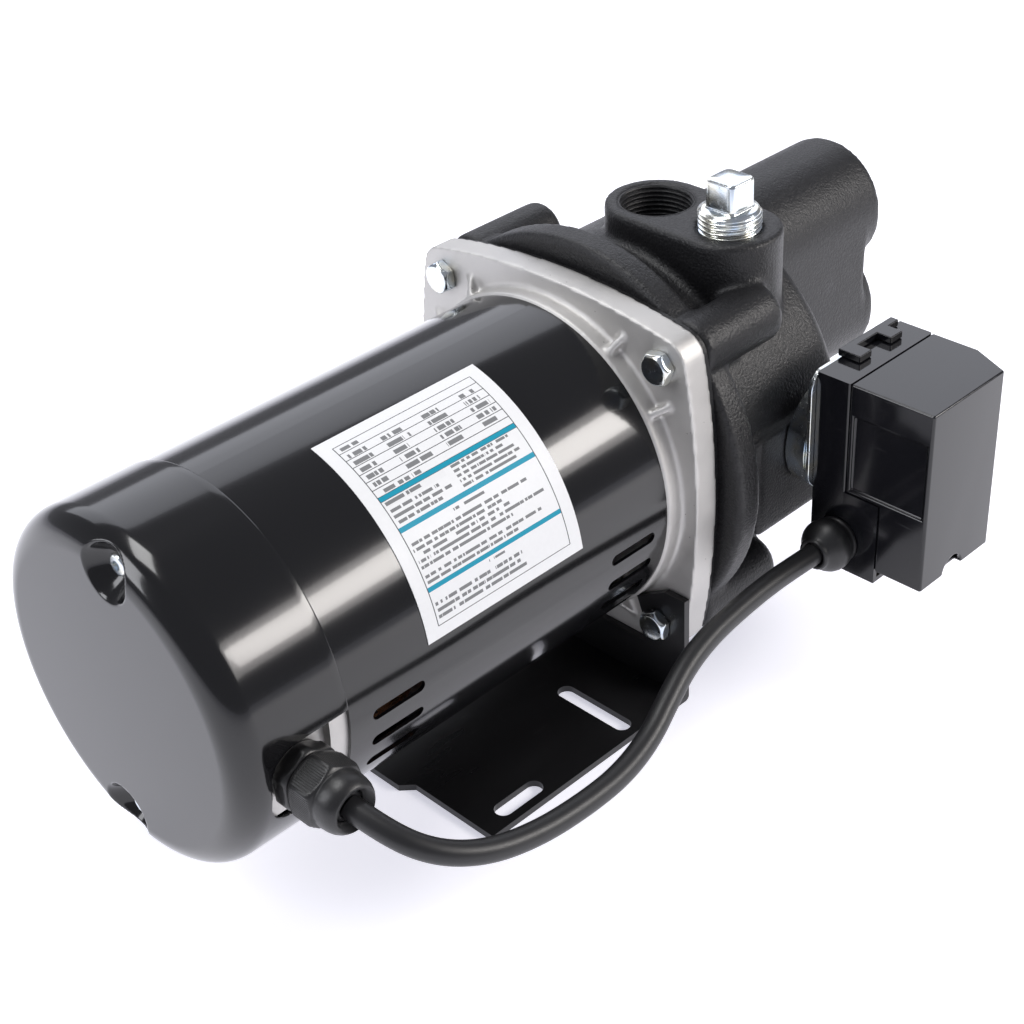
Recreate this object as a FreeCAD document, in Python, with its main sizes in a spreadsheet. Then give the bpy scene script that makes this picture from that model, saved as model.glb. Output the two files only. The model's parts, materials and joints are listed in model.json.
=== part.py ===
"""Shallow well jet pump: motor, end brackets, pump casing, pressure switch and lead.

Millimetres, +Z up, +X from the motor to the suction port, -Y on the pressure switch side.
The origin is on the underside of the base plate, below the shaft, midway between the two
rows of mounting slots. Heights in this file are counted from the shaft line, and every
piece is lifted by shaft_height. The sheet "size" holds the driving dimensions, and the
sheet "place" holds the stations along X and the other places worked out from them.
"""
import FreeCAD, Part
import math
import os
import re

import Sketcher
from FreeCAD import Placement, Rotation, Vector

SIZES = {
    # base plate
    "shaft_height": 97.0, "plate_thickness": 3.0, "base_half_width": 76.0, "base_reach": 118.0,
    "slot_width": 8.0, "cross_slot_length": 40.0, "cross_slot_offset": 52.0, "cross_slot_x": 30.5,
    "long_slot_length": 25.0, "long_slot_offset": 68.0, "long_slot_x": 31.0,
    "ear_height": 50.0, "ear_width": 23.5, "lip_height": 19.0, "tongue_depth": 5.0, "tongue_half": 31.0,
    # motor shell and label
    "bracket_station": 64.5, "shell_length": 168.0, "shell_radius": 71.5, "shell_wall": 1.5,
    "vent_width": 5.0, "vent_length": 25.0, "vent_first": 4.6, "vent_pitch": 10.8,
    "rear_vent_offset": 10.5, "front_vent_offset": 7.5,
    "label_offset": 39.0, "label_length": 80.5, "label_start": 12.4, "label_span": 69.8,
    "label_gap": 0.1, "label_thickness": 0.25,
    # rear cover
    "cover_depth": 49.0, "cover_radius": 72.5, "cover_wall": 1.5, "cover_round": 12.0,
    "dimple_radius": 9.5, "dimple_depth": 9.0, "dimple_y": 9.5, "dimple_z": 60.0,
    "notch_width": 37.0, "notch_top": 5.0, "notch_drop": 30.0, "notch_round": 12.0,
    "screw_radius": 2.4, "screw_head_radius": 4.6, "screw_head": 3.2, "screw_length": 18.0,
    "post_flats": 7.0,
    # shaft and bearings
    "shaft_radius": 10.0, "rear_journal": 7.5, "front_journal": 8.5, "stub_radius": 7.9,
    "tail_radius": 6.0, "rear_bearing_outer": 17.5, "front_bearing_outer": 20.0,
    "bearing_width": 12.0, "ring_thickness": 3.2, "ball_count": 8.0,
    "running_gap": 0.05, "seat_gap": 0.02, "fit_gap": 0.3, "face_gap": 0.2,
    # stator and rotor
    "core_length": 70.0, "core_start": 45.0, "core_bore": 38.0, "air_gap": 0.4, "core_slots": 24.0,
    "core_slot_depth": 17.0, "core_slot_width": 4.6, "winding_reach": 17.0, "winding_inner": 43.0,
    "winding_outer": 57.0, "cage_reach": 7.0, "cage_inner": 17.0, "cage_outer": 34.0,
    "through_bolt_radius": 2.5, "through_bolt_offset": 43.1, "tail_length": 26.0, "nut_reach": 1.0,
    # rear end bracket
    "bell_web": 4.0, "bell_skirt": 8.0, "hub_wall": 4.0, "hub_lip": 2.0, "bell_window_circle": 46.0,
    "bell_window_radius": 11.0, "pad_half": 15.5, "pad_depth": 10.0, "gland_thread": 10.0,
    # fan and starting gear
    "fan_gap": 3.0, "fan_depth": 13.0, "fan_disc": 2.0, "fan_radius": 56.0, "fan_blades": 9.0,
    "governor_gap": 2.0, "governor_room": 16.0, "governor_length": 18.0, "governor_arm": 15.0,
    "start_plate_back": 34.2,
    "capacitor_radius": 13.5, "capacitor_length": 66.0, "capacitor_back": 24.2, "capacitor_z": 42.0,
    # front bracket
    "ring_radius": 72.4, "ring_length": 8.3, "spigot_length": 6.0, "rim_half_width": 80.0,
    "rim_bulge": 330.0, "rim_round": 11.0, "rim_thickness": 12.0,
    "web_thickness": 5.0, "bolt_offset": 61.4, "bolt_radius": 4.0,
    "bolt_flats": 13.0, "bolt_head": 5.3, "bolt_boss_radius": 9.5, "bolt_thread": 30.0,
    "cavity_radius": 62.0, "bracket_window_circle": 46.0, "gusset_turn": 12.0, "gusset_reach": 12.0,
    "gusset_thickness": 3.0,
    # seal plate, casing and ports
    "seal_plate_thickness": 3.0, "flange_radius": 90.3, "flange_thickness": 13.0,
    "drum_radius": 78.0, "drum_wall": 7.0, "casing_depth": 84.5, "front_wall": 8.0,
    "boss_reach": 47.0, "boss_radius": 12.5, "port_height": 90.4, "port_offset": 52.25,
    "port_boss_radius": 22.0, "discharge_radius": 15.74, "plug_offset": 39.5, "plug_radius": 13.2,
    "barrel_height": 48.1, "barrel_radius": 29.6, "barrel_reach": 173.25, "ejector_reach": 173.0,
    "web_reach": 164.0, "suction_radius": 20.0, "suction_depth": 28.0, "chamber_radius": 17.0,
    # pump internals
    "impeller_radius": 60.0, "impeller_width": 13.0, "eye_radius": 17.0, "diffuser_radius": 66.0,
    "venturi_radius": 11.0, "throat_radius": 5.0, "venturi_length": 72.0,
    "seal_seat_radius": 14.0, "seal_seat_length": 6.0, "seal_boss_depth": 9.0,
    "port_root": 30.0, "port_floor": 58.0, "pad_offset": 24.5, "pad_rise": 2.0, "pad_low": 32.0,
    "pad_high": 15.5,
    "chamber_wall": 6.0, "nozzle_reach": 150.5, "access_radius": 14.0, "passage_radius": 3.5,
    "passage_drop": 23.0, "drain_drop": 58.0, "drain_radius": 6.5, "drain_reach": 8.0, "nozzle_gap": 12.0,
    "shroud": 2.5, "plug_engaged": 12.0, "plug_rise": 8.0, "plug_head": 15.0, "plug_head_height": 12.5,
    # pressure switch
    "switch_offset": 44.7, "switch_width": 55.8, "switch_back": 92.0, "switch_depth": 56.0,
    "switch_top": 44.3, "switch_bottom": 45.0, "cover_bottom": 39.0, "switch_wall": 2.2,
    "split_upper": 16.3, "split_lower": 33.0, "split_level": 7.0, "chamfer_x": 8.0, "chamfer_y": 17.5,
    "nipple_radius": 6.8, "nipple_offset": 65.5, "nipple_z": 5.0, "switch_housing_depth": 11.5,
    "switch_housing_radius": 25.0, "plate_margin": 8.0, "plate_drop": 12.0, "plunger_radius": 4.0,
    "lever_gap": 3.0, "spring_z": 22.0, "latch_offset": 60.0, "latch_y": 90.5, "latch_width": 36.0,
    "window_depth": 1.2, "window_top": 30.0,
    # cable and gland
    "gland_back": 22.2, "gland_z": 11.0, "gland_face": 66.0, "gland_flats": 24.0,
    "gland_length": 16.0, "nut_length": 13.0, "cable_radius": 4.6, "relief_radius": 11.5,
    "thread_beyond": 4.0, "relief_x": 117.9, "relief_y": 106.0, "relief_z": 30.5, "relief_entry": 107.5,
}

PLACES = {
    "shell_front": "size.bracket_station - size.ring_length",
    "shell_rear": "place.shell_front - size.shell_length",
    "cover_back": "place.shell_rear - size.cover_depth",
    "shell_bore": "size.shell_radius - size.shell_wall",
    "cover_bore": "size.cover_radius - size.cover_wall",
    "core_rear": "place.shell_rear + size.core_start",
    "core_front": "place.core_rear + size.core_length",
    "rim_front": "size.bracket_station + size.rim_thickness",
    "seal_front": "place.rim_front + size.seal_plate_thickness",
    "drum_front": "place.seal_front + size.casing_depth",
    "drum_bore": "size.drum_radius - size.drum_wall",
    "port_x": "place.seal_front + size.port_offset",
    "barrel_front": "place.seal_front + size.barrel_reach",
    "ejector_front": "place.seal_front + size.ejector_reach",
    "rear_bearing_rear": "place.shell_rear - 3",
    "rear_bearing_front": "place.rear_bearing_rear + size.bearing_width",
    "front_bearing_front": "place.shell_front - 3",
    "front_bearing_rear": "place.front_bearing_front - size.bearing_width",
    "impeller_rear": "place.seal_front + 8",
    "impeller_front": "place.impeller_rear + size.impeller_width",
    "venturi_rear": "place.impeller_front + 6",
    "venturi_front": "place.venturi_rear + size.venturi_length",
    "dimple_floor": "place.cover_back + size.dimple_depth",
    "start_plate_x": "place.shell_rear - size.start_plate_back",
    "capacitor_x": "place.shell_rear - size.capacitor_back",
    "gland_x": "size.gland_back - place.shell_rear",
    "nozzle_seat": "place.seal_front + size.nozzle_reach",
    "pad_start": "place.seal_front + size.pad_offset",
    "switch_near_x": "place.seal_front + size.switch_offset",
    "nipple_x": "place.seal_front + size.nipple_offset",
    "latch_x": "place.seal_front + size.latch_offset",
    "switch_far_x": "place.switch_near_x + size.switch_width",
    "switch_face": "size.switch_back + size.switch_depth",
    "base_rear": "size.bracket_station - size.base_reach",
}

doc = FreeCAD.newDocument("jet_pump")


def make_sheet(name, cells):
    """A spreadsheet with one alias in column A and its cell in column B for each entry."""
    sheet = doc.addObject("Spreadsheet::Sheet", name)
    for row, (alias, content) in enumerate(cells.items(), start=1):
        sheet.set("A%d" % row, alias)
        sheet.set("B%d" % row, content)
        sheet.setAlias("B%d" % row, alias)
    doc.recompute()
    return sheet


size = make_sheet("size", {alias: "%g" % number for alias, number in SIZES.items()})
place = make_sheet("place", {alias: "=" + formula for alias, formula in PLACES.items()})


def link(text):
    """Write the sheet's name before each alias of an expression."""
    def named(match):
        word = match.group(0)
        if word in SIZES:
            return "size." + word
        if word in PLACES:
            return "place." + word
        return word
    return re.sub(r"[a-z][a-z0-9_]*", named, str(text))


def value(text):
    """The number that an expression has now."""
    return float(size.evalExpression(link(text)))


def bind(item, **properties):
    """Bind properties of a document object to expressions; a double underscore is a dot."""
    for name, text in properties.items():
        item.setExpression(name.replace("__", "."), link(text))


def lift(item, x="0", y="0", z="0"):
    """Put an object at a place counted from the shaft line."""
    bind(item, Placement__Base__x=x, Placement__Base__y=y, Placement__Base__z="shaft_height + (%s)" % z)
    return item


# ---------------------------------------------------------------- bodies and sketches

def origin_plane(body, role):
    return [item for item in body.Origin.OriginFeatures if item.Role == role][0]


def new_sketch(body, name, role, station="0"):
    """A sketch on one of the body's own origin planes, moved along its normal."""
    sketch = body.newObject("Sketcher::SketchObject", name)
    sketch.AttachmentSupport = [(origin_plane(body, role), "")]
    sketch.MapMode = "FlatFace"
    sketch.setExpression("AttachmentOffset.Base.z", link(station))
    return sketch


def hold_point(sketch, geometry, end, across, up):
    """Fix a point of the sketch by two dimensions bound to expressions."""
    for kind, text in (("DistanceX", across), ("DistanceY", up)):
        index = sketch.addConstraint(Sketcher.Constraint(kind, geometry, end, value(text)))
        sketch.setExpression("Constraints[%d]" % index, link(text))


def add_polygon(sketch, points):
    """Closed outline of straight lines; each corner is a pair of expressions."""
    corners = [Vector(value(across), value(up), 0) for across, up in points]
    count = len(corners)
    first = sketch.GeometryCount
    for i in range(count):
        sketch.addGeometry(Part.LineSegment(corners[i], corners[(i + 1) % count]), False)
    for i in range(count):
        sketch.addConstraint(Sketcher.Constraint("Coincident", first + i, 2, first + (i + 1) % count, 1))
    for i, (across, up) in enumerate(points):
        hold_point(sketch, first + i, 1, across, up)


def add_circle(sketch, across, up, radius):
    """Circle with its centre and radius bound to expressions."""
    centre = Vector(value(across), value(up), 0)
    index = sketch.addGeometry(Part.Circle(centre, Vector(0, 0, 1), value(radius)), False)
    hold_point(sketch, index, 3, across, up)
    held = sketch.addConstraint(Sketcher.Constraint("Radius", index, value(radius)))
    sketch.setExpression("Constraints[%d]" % held, link(radius))


def turned(name, points, sweep=None, roll=None):
    """Body turned about the shaft line from (station, radius) corners."""
    body = doc.addObject("PartDesign::Body", name)
    sketch = new_sketch(body, name + "_profile", "XZ_Plane")
    add_polygon(sketch, points)
    turn = body.newObject("PartDesign::Revolution", name + "_turn")
    turn.Profile = sketch
    turn.ReferenceAxis = (sketch, ["H_Axis"])
    turn.Angle = 360
    if sweep:
        bind(turn, Angle=sweep)
    if roll:
        body.Placement = Placement(Vector(), Rotation(Vector(1, 0, 0), value(roll)))
    lift(body)
    doc.recompute()
    return body


def ring(name, rear, front, inner, outer, **more):
    """Plain ring between two stations."""
    return turned(name, [(rear, inner), (front, inner), (front, outer), (rear, outer)], **more)


def pad(name, role, station, length, points=(), circles=()):
    """Body of one pad from a polygon or circles on an origin plane."""
    body = doc.addObject("PartDesign::Body", name)
    sketch = new_sketch(body, name + "_outline", role, station)
    if points:
        add_polygon(sketch, points)
    for circle in circles:
        add_circle(sketch, *circle)
    feature = body.newObject("PartDesign::Pad", name + "_pad")
    feature.Profile = sketch
    bind(feature, Length=length)
    lift(body)
    doc.recompute()
    return body


def pocket(body, name, role, draw, both_ways=True):
    """Through pocket whose sketch is filled by DRAW, checked by the volume it takes away."""
    before = body.Shape.Volume
    sketch = new_sketch(body, name + "_sketch", role)
    draw(sketch)
    feature = body.newObject("PartDesign::Pocket", name)
    feature.Profile = sketch
    feature.Type = "ThroughAll"
    feature.Midplane = both_ways
    doc.recompute()
    if body.Shape.Volume > before - 0.01:
        raise RuntimeError("pocket %s cuts nothing" % name)
    return feature


def round_body(body, radius, choose):
    """Fillet the edges of a body that CHOOSE picks."""
    doc.recompute()
    tip = body.Tip
    names = ["Edge%d" % (i + 1) for i, edge in enumerate(tip.Shape.Edges) if choose(edge)]
    fillet = body.newObject("PartDesign::Fillet", body.Name + "_round%d" % len(body.Group))
    fillet.Base = (tip, names)
    bind(fillet, Radius=radius)
    doc.recompute()
    return body


# ---------------------------------------------------------------- primitives and booleans

TURNS = {"X": Rotation(Vector(0, 1, 0), 90), "Y": Rotation(Vector(1, 0, 0), -90), "Z": Rotation()}


def seat(item, along, start, across):
    """Place a primitive by its start along an axis and its two places across it."""
    first, second = across
    spots = {"X": (start, first, second), "Y": (first, start, second), "Z": (first, second, start)}
    item.Placement = Placement(Vector(), TURNS[along])
    return lift(item, *spots[along])


def rod(name, radius, start, length, across=("0", "0"), along="X"):
    """Round bar: START and LENGTH run along the axis, ACROSS is its place beside it."""
    item = doc.addObject("Part::Cylinder", name)
    bind(item, Radius=radius, Height=length)
    return seat(item, along, start, across)


def hexagon(name, flats, start, length, across=("0", "0"), along="X"):
    """Six-sided bar of a given width across flats."""
    item = doc.addObject("Part::Prism", name)
    item.Polygon = 6
    bind(item, Circumradius="(%s) / sqrt(3)" % flats, Height=length)
    return seat(item, along, start, across)


def cone(name, radius, end_radius, start, length, across=("0", "0"), along="X"):
    """Round taper."""
    item = doc.addObject("Part::Cone", name)
    bind(item, Radius1=radius, Radius2=end_radius, Height=length)
    return seat(item, along, start, across)


def ball(name, radius, x, y, z):
    item = doc.addObject("Part::Sphere", name)
    bind(item, Radius=radius)
    return lift(item, x, y, z)


def block(name, low, high):
    """Box between two corners."""
    item = doc.addObject("Part::Box", name)
    spans = ["(%s) - (%s)" % (top, bottom) for bottom, top in zip(low, high)]
    bind(item, Length=spans[0], Width=spans[1], Height=spans[2])
    return lift(item, *low)


def fuse(name, *items):
    item = doc.addObject("Part::MultiFuse", name)
    item.Shapes = list(items)
    item.Refine = True
    return item


def common(name, *items):
    item = doc.addObject("Part::MultiCommon", name)
    item.Shapes = list(items)
    return item


def cut(name, base, *tools):
    item = doc.addObject("Part::Cut", name)
    item.Base = base
    item.Tool = tools[0] if len(tools) == 1 else fuse(name + "_tools", *tools)
    return item


def rounded(name, base, radius, choose):
    """Part fillet of the edges that CHOOSE picks."""
    doc.recompute()
    item = doc.addObject("Part::Fillet", name)
    item.Base = base
    number = value(radius)
    item.Edges = [(i + 1, number, number) for i, edge in enumerate(base.Shape.Edges) if choose(edge)]
    doc.recompute()
    return item


def group(name, items):
    """One node of several separate solids."""
    item = doc.addObject("Part::Compound", name)
    item.Links = list(items)
    return item


def runs_along(edge, axis):
    """True for a straight edge along an axis."""
    ends = [vertex.Point for vertex in edge.Vertexes]
    if len(ends) < 2:
        return False
    step = ends[1] - ends[0]
    return step.Length > 0.1 and abs(abs(step.dot(axis)) - step.Length) < 1e-6


def at_station(edge, station):
    """True for an edge that lies in the plane across X at a station."""
    box = edge.BoundBox
    return abs(box.XMin - station) < 1e-4 and abs(box.XMax - station) < 1e-4


def signs():
    """The four corners round the shaft."""
    return [(y, z) for y in (-1, 1) for z in (-1, 1)]


def add_slot(sketch, start, end, width):
    """Round-ended slot between two centres, each a pair of expressions."""
    first = Vector(value(start[0]), value(start[1]), 0)
    last = Vector(value(end[0]), value(end[1]), 0)
    step = last - first
    heading = math.atan2(step.y, step.x)
    radius = value(width) / 2
    side = Vector(-math.sin(heading), math.cos(heading), 0) * radius
    up = Vector(0, 0, 1)
    index = sketch.GeometryCount
    quarter = math.pi / 2
    sketch.addGeometry(Part.LineSegment(first + side, last + side), False)
    far = Part.Circle(last, up, radius)
    sketch.addGeometry(Part.ArcOfCircle(far, heading - quarter, heading + quarter), False)
    sketch.addGeometry(Part.LineSegment(first - side, last - side), False)
    near = Part.Circle(first, up, radius)
    sketch.addGeometry(Part.ArcOfCircle(near, heading + quarter, heading + 3 * quarter), False)
    for a, end_a, b, end_b in ((0, 2, 1, 2), (1, 1, 2, 2), (2, 1, 3, 2), (3, 1, 0, 1)):
        sketch.addConstraint(Sketcher.Constraint("Tangent", index + a, end_a, index + b, end_b))
    sketch.addConstraint(Sketcher.Constraint("Equal", index + 1, index + 3))
    hold_point(sketch, index + 1, 3, *end)
    hold_point(sketch, index + 3, 3, *start)
    held = sketch.addConstraint(Sketcher.Constraint("Radius", index + 1, radius))
    sketch.setExpression("Constraints[%d]" % held, link("(%s) / 2" % width))


def repeat(body, feature, sketch, count):
    """Polar pattern of a feature round the shaft line."""
    pattern = body.newObject("PartDesign::PolarPattern", feature.Name + "_round")
    pattern.Originals = [feature]
    pattern.Axis = (sketch, ["N_Axis"])
    pattern.Angle = 360
    bind(pattern, Occurrences=count)
    body.Tip = pattern
    doc.recompute()
    return pattern


# ---------------------------------------------------------------- base plate

def base_plate():
    """Plate under the motor with a lip and two ears that the lower casing bolts clamp."""
    rear, front, half = "base_rear", "bracket_station", "base_half_width"
    tongue, inner = "base_rear - tongue_depth", "tongue_half - tongue_depth"
    outline = [(rear, "-" + half), (front, "-" + half), (front, half), (rear, half),
               (rear, "tongue_half"), (tongue, inner), (tongue, "-(%s)" % inner), (rear, "-tongue_half")]
    body = doc.addObject("PartDesign::Body", "base_plate")
    plate = new_sketch(body, "plate_outline", "XY_Plane", "-shaft_height")
    add_polygon(plate, outline)
    feature = body.newObject("PartDesign::Pad", "plate_pad")
    feature.Profile = plate
    bind(feature, Length="plate_thickness")
    upright = new_sketch(body, "ear_outline", "YZ_Plane", "bracket_station - plate_thickness")
    top = "ear_height + plate_thickness - shaft_height"
    lip = "lip_height + plate_thickness - shaft_height"
    side, foot = "base_half_width", "-shaft_height"
    inside = "base_half_width - ear_width"
    left = [("-" + side, foot), ("-" + side, top), ("11 - base_half_width", top),
            ("3 - (%s)" % inside, "%s - 9" % top), ("-(%s)" % inside, "%s - 17" % top),
            ("-(%s)" % inside, lip)]
    right = [(across[1:] if across.startswith("-b") else "-(%s)" % across, height) for across,
             height in left]
    add_polygon(upright, left + right[::-1])
    ears = body.newObject("PartDesign::Pad", "ears_pad")
    ears.Profile = upright
    bind(ears, Length="plate_thickness")
    lift(body)
    doc.recompute()

    def slots(sketch):
        for side in ("-", ""):
            reach = "(cross_slot_length - slot_width) / 2"
            across = side + "cross_slot_offset"
            add_slot(sketch, ("cross_slot_x", "%s - %s" % (across, reach)),
                     ("cross_slot_x", "%s + %s" % (across, reach)), "slot_width")
            reach = "(long_slot_length - slot_width) / 2"
            across = side + "long_slot_offset"
            add_slot(sketch, ("-long_slot_x - %s" % reach, across), ("-long_slot_x + %s" % reach, across),
                     "slot_width")

    def bolt_holes(sketch):
        for y in ("-", ""):
            add_circle(sketch, y + "bolt_offset", "-bolt_offset", "bolt_radius + fit_gap")

    pocket(body, "mounting_slots", "XY_Plane", slots)
    pocket(body, "ear_holes", "YZ_Plane", bolt_holes)
    axis = Vector(0, 1, 0)
    bottom = -value("shaft_height")
    front_x = value("bracket_station")

    def outer_bend(edge):
        box = edge.BoundBox
        return runs_along(edge, axis) and abs(box.ZMin - bottom) < 1e-4 and abs(box.XMin - front_x) < 1e-4
    return round_body(body, "plate_thickness * 0.8", outer_bend)


# ---------------------------------------------------------------- motor shell and rear cover

def vent_slots(sketch, start, count):
    """Rows of lengthwise slots whose heights follow the shell's curve."""
    for i in range(count):
        height = "-shell_radius * sin(vent_first + vent_pitch * %d)" % i
        add_slot(sketch, ("%s + vent_width / 2" % start, height),
                 ("%s + vent_length - vent_width / 2" % start, height), "vent_width")


def motor_shell():
    """Rolled steel tube with vent slots low on both sides at each end."""
    shell = ring("motor_shell", "shell_rear", "shell_front", "shell_bore", "shell_radius")
    rear = "shell_rear + rear_vent_offset"
    front = "shell_front - front_vent_offset - vent_length"
    pocket(shell, "rear_vents", "XZ_Plane", lambda sketch: vent_slots(sketch, rear, 3))
    pocket(shell, "front_vents", "XZ_Plane", lambda sketch: vent_slots(sketch, front, 4))
    return shell


def nameplate_label():
    """Thin curved label on the upper switch side of the shell."""
    rear = "shell_rear + label_offset"
    return ring("nameplate_label", rear, rear + " + label_length", "shell_radius + label_gap",
                "shell_radius + label_gap + label_thickness", sweep="label_span", roll="label_start")


def cup(name, back, front, radius, corner):
    """Solid of revolution with one rounded end."""
    body = turned(name, [(back, "0"), (front, "0"), (front, radius), (back, radius)])
    station = value(back)
    return round_body(body, corner, lambda edge: at_station(edge, station))


def dimples(name, radius, start, depth):
    """Two bars where the cover screws sit, one high and one low."""
    high = rod(name + "_high", radius, start, depth, ("-dimple_y", "dimple_z"))
    low = rod(name + "_low", radius, start, depth, ("dimple_y", "-dimple_z"))
    return [high, low]


def rear_cover():
    """Deep drawn cap with two screw recesses and a notch for the cable gland."""
    outer = cup("cover_outer", "cover_back", "shell_rear - face_gap", "cover_radius", "cover_round")
    inner = cup("cover_inner", "cover_back + cover_wall", "shell_rear", "cover_bore",
                "cover_round - cover_wall")
    pillars = dimples("cover_pillar", "dimple_radius + cover_wall", "cover_back",
                      "dimple_depth + cover_wall")
    wells = dimples("cover_well", "dimple_radius", "cover_back - 1", "dimple_depth + 1")
    holes = dimples("cover_hole", "screw_radius + fit_gap", "cover_back", "dimple_depth + cover_wall + 1")
    notch = block("cover_notch_box", ("shell_rear - notch_width", "-cover_radius - 5", "-notch_drop"),
                  ("shell_rear + 1", "-cover_radius * 0.6", "notch_top"))
    axis = Vector(0, 1, 0)
    rear = value("shell_rear - notch_width")
    corners = rounded("cover_notch", notch, "notch_round",
                      lambda edge: runs_along(edge, axis) and abs(edge.BoundBox.XMin - rear) < 1e-4)
    hollow = cut("cover_hollow", inner, *pillars)
    return cut("rear_cover", outer, hollow, *wells, *holes, corners)


def cover_screws():
    """Two pan head screws that hold the rear cover on its posts."""
    floor = "dimple_floor - screw_head - face_gap"
    pieces = []
    for head, shank, slot in zip(dimples("screw_head", "screw_head_radius", floor, "screw_head"),
                                 dimples("screw_shank", "screw_radius", floor, "screw_length"),
                                 dimples("screw_recess", "screw_radius * 0.8", floor + " - 1", "2.4")):
        crown = rounded(head.Name + "_crown", head, "1.2",
                        lambda edge: at_station(edge, value(floor)))
        pieces.append(cut(head.Name + "_whole", fuse(head.Name + "_joined", crown, shank), slot))
    return group("cover_screws", pieces)


def cover_posts():
    """Two hexagonal posts between the rear end bracket and the cover."""
    start = "dimple_floor + cover_wall + face_gap"
    length = "shell_rear - bell_web - (%s)" % start
    pieces = []
    for y, z in (("-dimple_y", "dimple_z"), ("dimple_y", "-dimple_z")):
        name = "post_high" if y.startswith("-") else "post_low"
        bar = hexagon(name + "_bar", "post_flats", start, length, (y, z))
        bore = rod(name + "_bore", "screw_radius + running_gap", start + " - 1", "screw_length", (y, z))
        pieces.append(cut(name, bar, bore))
    return group("cover_posts", pieces)


def rear_end_bracket():
    """Cast end bell: bearing hub, web with windows, spigot and the pad for the gland."""
    hub, skirt, fit = "rear_bearing_outer + hub_wall", "shell_bore - hub_wall", "shell_bore - running_gap"
    rear, front = "shell_rear - bell_web", "shell_rear"
    bell = turned("end_bell", [
        ("rear_bearing_rear - hub_lip", "tail_radius + 3"), ("rear_bearing_rear", "tail_radius + 3"),
        ("rear_bearing_rear", "rear_bearing_outer"), ("rear_bearing_front", "rear_bearing_outer"),
        ("rear_bearing_front", hub), (front, hub), (front, skirt),
        ("shell_rear + spigot_length", skirt), ("shell_rear + spigot_length", fit),
        ("shell_rear - bell_skirt", fit), ("shell_rear - bell_skirt", skirt), (rear, skirt), (rear, hub),
        ("rear_bearing_rear - hub_lip", hub)])

    def openings(sketch):
        for across, up in (("0", "bell_window_circle"), ("0", "-bell_window_circle"),
                           ("bell_window_circle", "0")):
            add_circle(sketch, across, up, "bell_window_radius")
        for y, z in signs():
            add_circle(sketch, "%d * through_bolt_offset" % y, "%d * through_bolt_offset" % z,
                       "through_bolt_radius + fit_gap")
    pocket(bell, "bell_openings", "YZ_Plane", openings)
    low = ("-gland_x - pad_half", "-gland_face", "-gland_z - pad_half")
    high = ("shell_rear - face_gap", "pad_depth - gland_face", "pad_half - gland_z")
    pad_block = block("gland_pad", low, high)
    arm = block("gland_arm", ("shell_rear - bell_skirt", "-(%s)" % fit + " + 2", "-gland_z - 8"),
                ("shell_rear - bell_web / 2", "-governor_arm - governor_room", "8 - gland_z"))
    hole = rod("gland_hole", "gland_thread + running_gap", "-gland_face - 1", "pad_depth + 2",
               ("-gland_x", "-gland_z"), "Y")
    return cut("rear_end_bracket", fuse("end_bell_whole", bell, pad_block, arm), hole)


# ---------------------------------------------------------------- bearings, shaft, stator and rotor

def bearing(name, rear, journal, outer):
    """Rings of a ball bearing as two nodes; its balls are given back."""
    front = rear + " + bearing_width"
    shoulder = "%s + ring_thickness" % journal
    race = "%s - ring_thickness" % outer
    ring(name + "_outer_ring", rear, front, race, "%s - seat_gap" % outer)
    ring(name + "_inner_ring", rear, front, "%s + seat_gap" % journal, shoulder)
    middle = "((%s) + (%s)) / 2" % (race, shoulder)
    radius = "((%s) - (%s)) / 2 - running_gap" % (race, shoulder)
    balls = []
    for i in range(int(value("ball_count"))):
        turn = "%d * 360 / ball_count" % i
        balls.append(ball("%s_ball%d" % (name, i), radius, "%s + bearing_width / 2" % rear,
                          "(%s) * cos(%s)" % (middle, turn), "(%s) * sin(%s)" % (middle, turn)))
    return balls


def bearings():
    """The rear and front bearing, with all balls in one node."""
    balls = bearing("rear_bearing", "rear_bearing_rear", "rear_journal", "rear_bearing_outer")
    balls += bearing("front_bearing", "front_bearing_rear", "front_journal", "front_bearing_outer")
    return group("bearing_balls", balls)


def wave_washer():
    """Spring washer that loads the rear bearing from its closed end."""
    return ring("wave_washer", "rear_bearing_front + face_gap", "rear_bearing_front + face_gap + 1",
                "rear_bearing_outer - 4", "rear_bearing_outer - 1")


def motor_shaft():
    """Stepped shaft from the governor, through both bearings, to the impeller."""
    return turned("motor_shaft", [
        ("rear_bearing_rear - tail_length", "0"), ("impeller_front + nut_reach", "0"),
        ("impeller_front + nut_reach", "stub_radius"), ("front_bearing_front + 1", "stub_radius"),
        ("front_bearing_front + 1", "front_journal"), ("front_bearing_rear", "front_journal"),
        ("front_bearing_rear", "shaft_radius"), ("rear_bearing_front", "shaft_radius"),
        ("rear_bearing_front", "rear_journal"), ("rear_bearing_rear", "rear_journal"),
        ("rear_bearing_rear", "tail_radius"), ("rear_bearing_rear - tail_length", "tail_radius")])


def stator_core():
    """Lamination stack with winding slots and four bolt holes."""
    core = ring("stator_core", "core_rear", "core_front", "core_bore", "shell_bore - running_gap")
    sketch = new_sketch(core, "core_slot_outline", "YZ_Plane", "core_rear")
    half = "core_slot_width / 2"
    add_polygon(sketch, [("-" + half, "core_bore - 1"), (half, "core_bore - 1"),
                         (half, "core_bore + core_slot_depth"),
                         ("-" + half, "core_bore + core_slot_depth")])
    slot = core.newObject("PartDesign::Pocket", "core_slot")
    slot.Profile = sketch
    slot.Type = "ThroughAll"
    slot.Midplane = True
    doc.recompute()
    repeat(core, slot, sketch, "core_slots")

    def bolt_holes(sheet):
        for y, z in signs():
            add_circle(sheet, "%d * through_bolt_offset" % y, "%d * through_bolt_offset" % z,
                       "through_bolt_radius + fit_gap")
    pocket(core, "core_bolt_holes", "YZ_Plane", bolt_holes)
    return core


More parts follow.
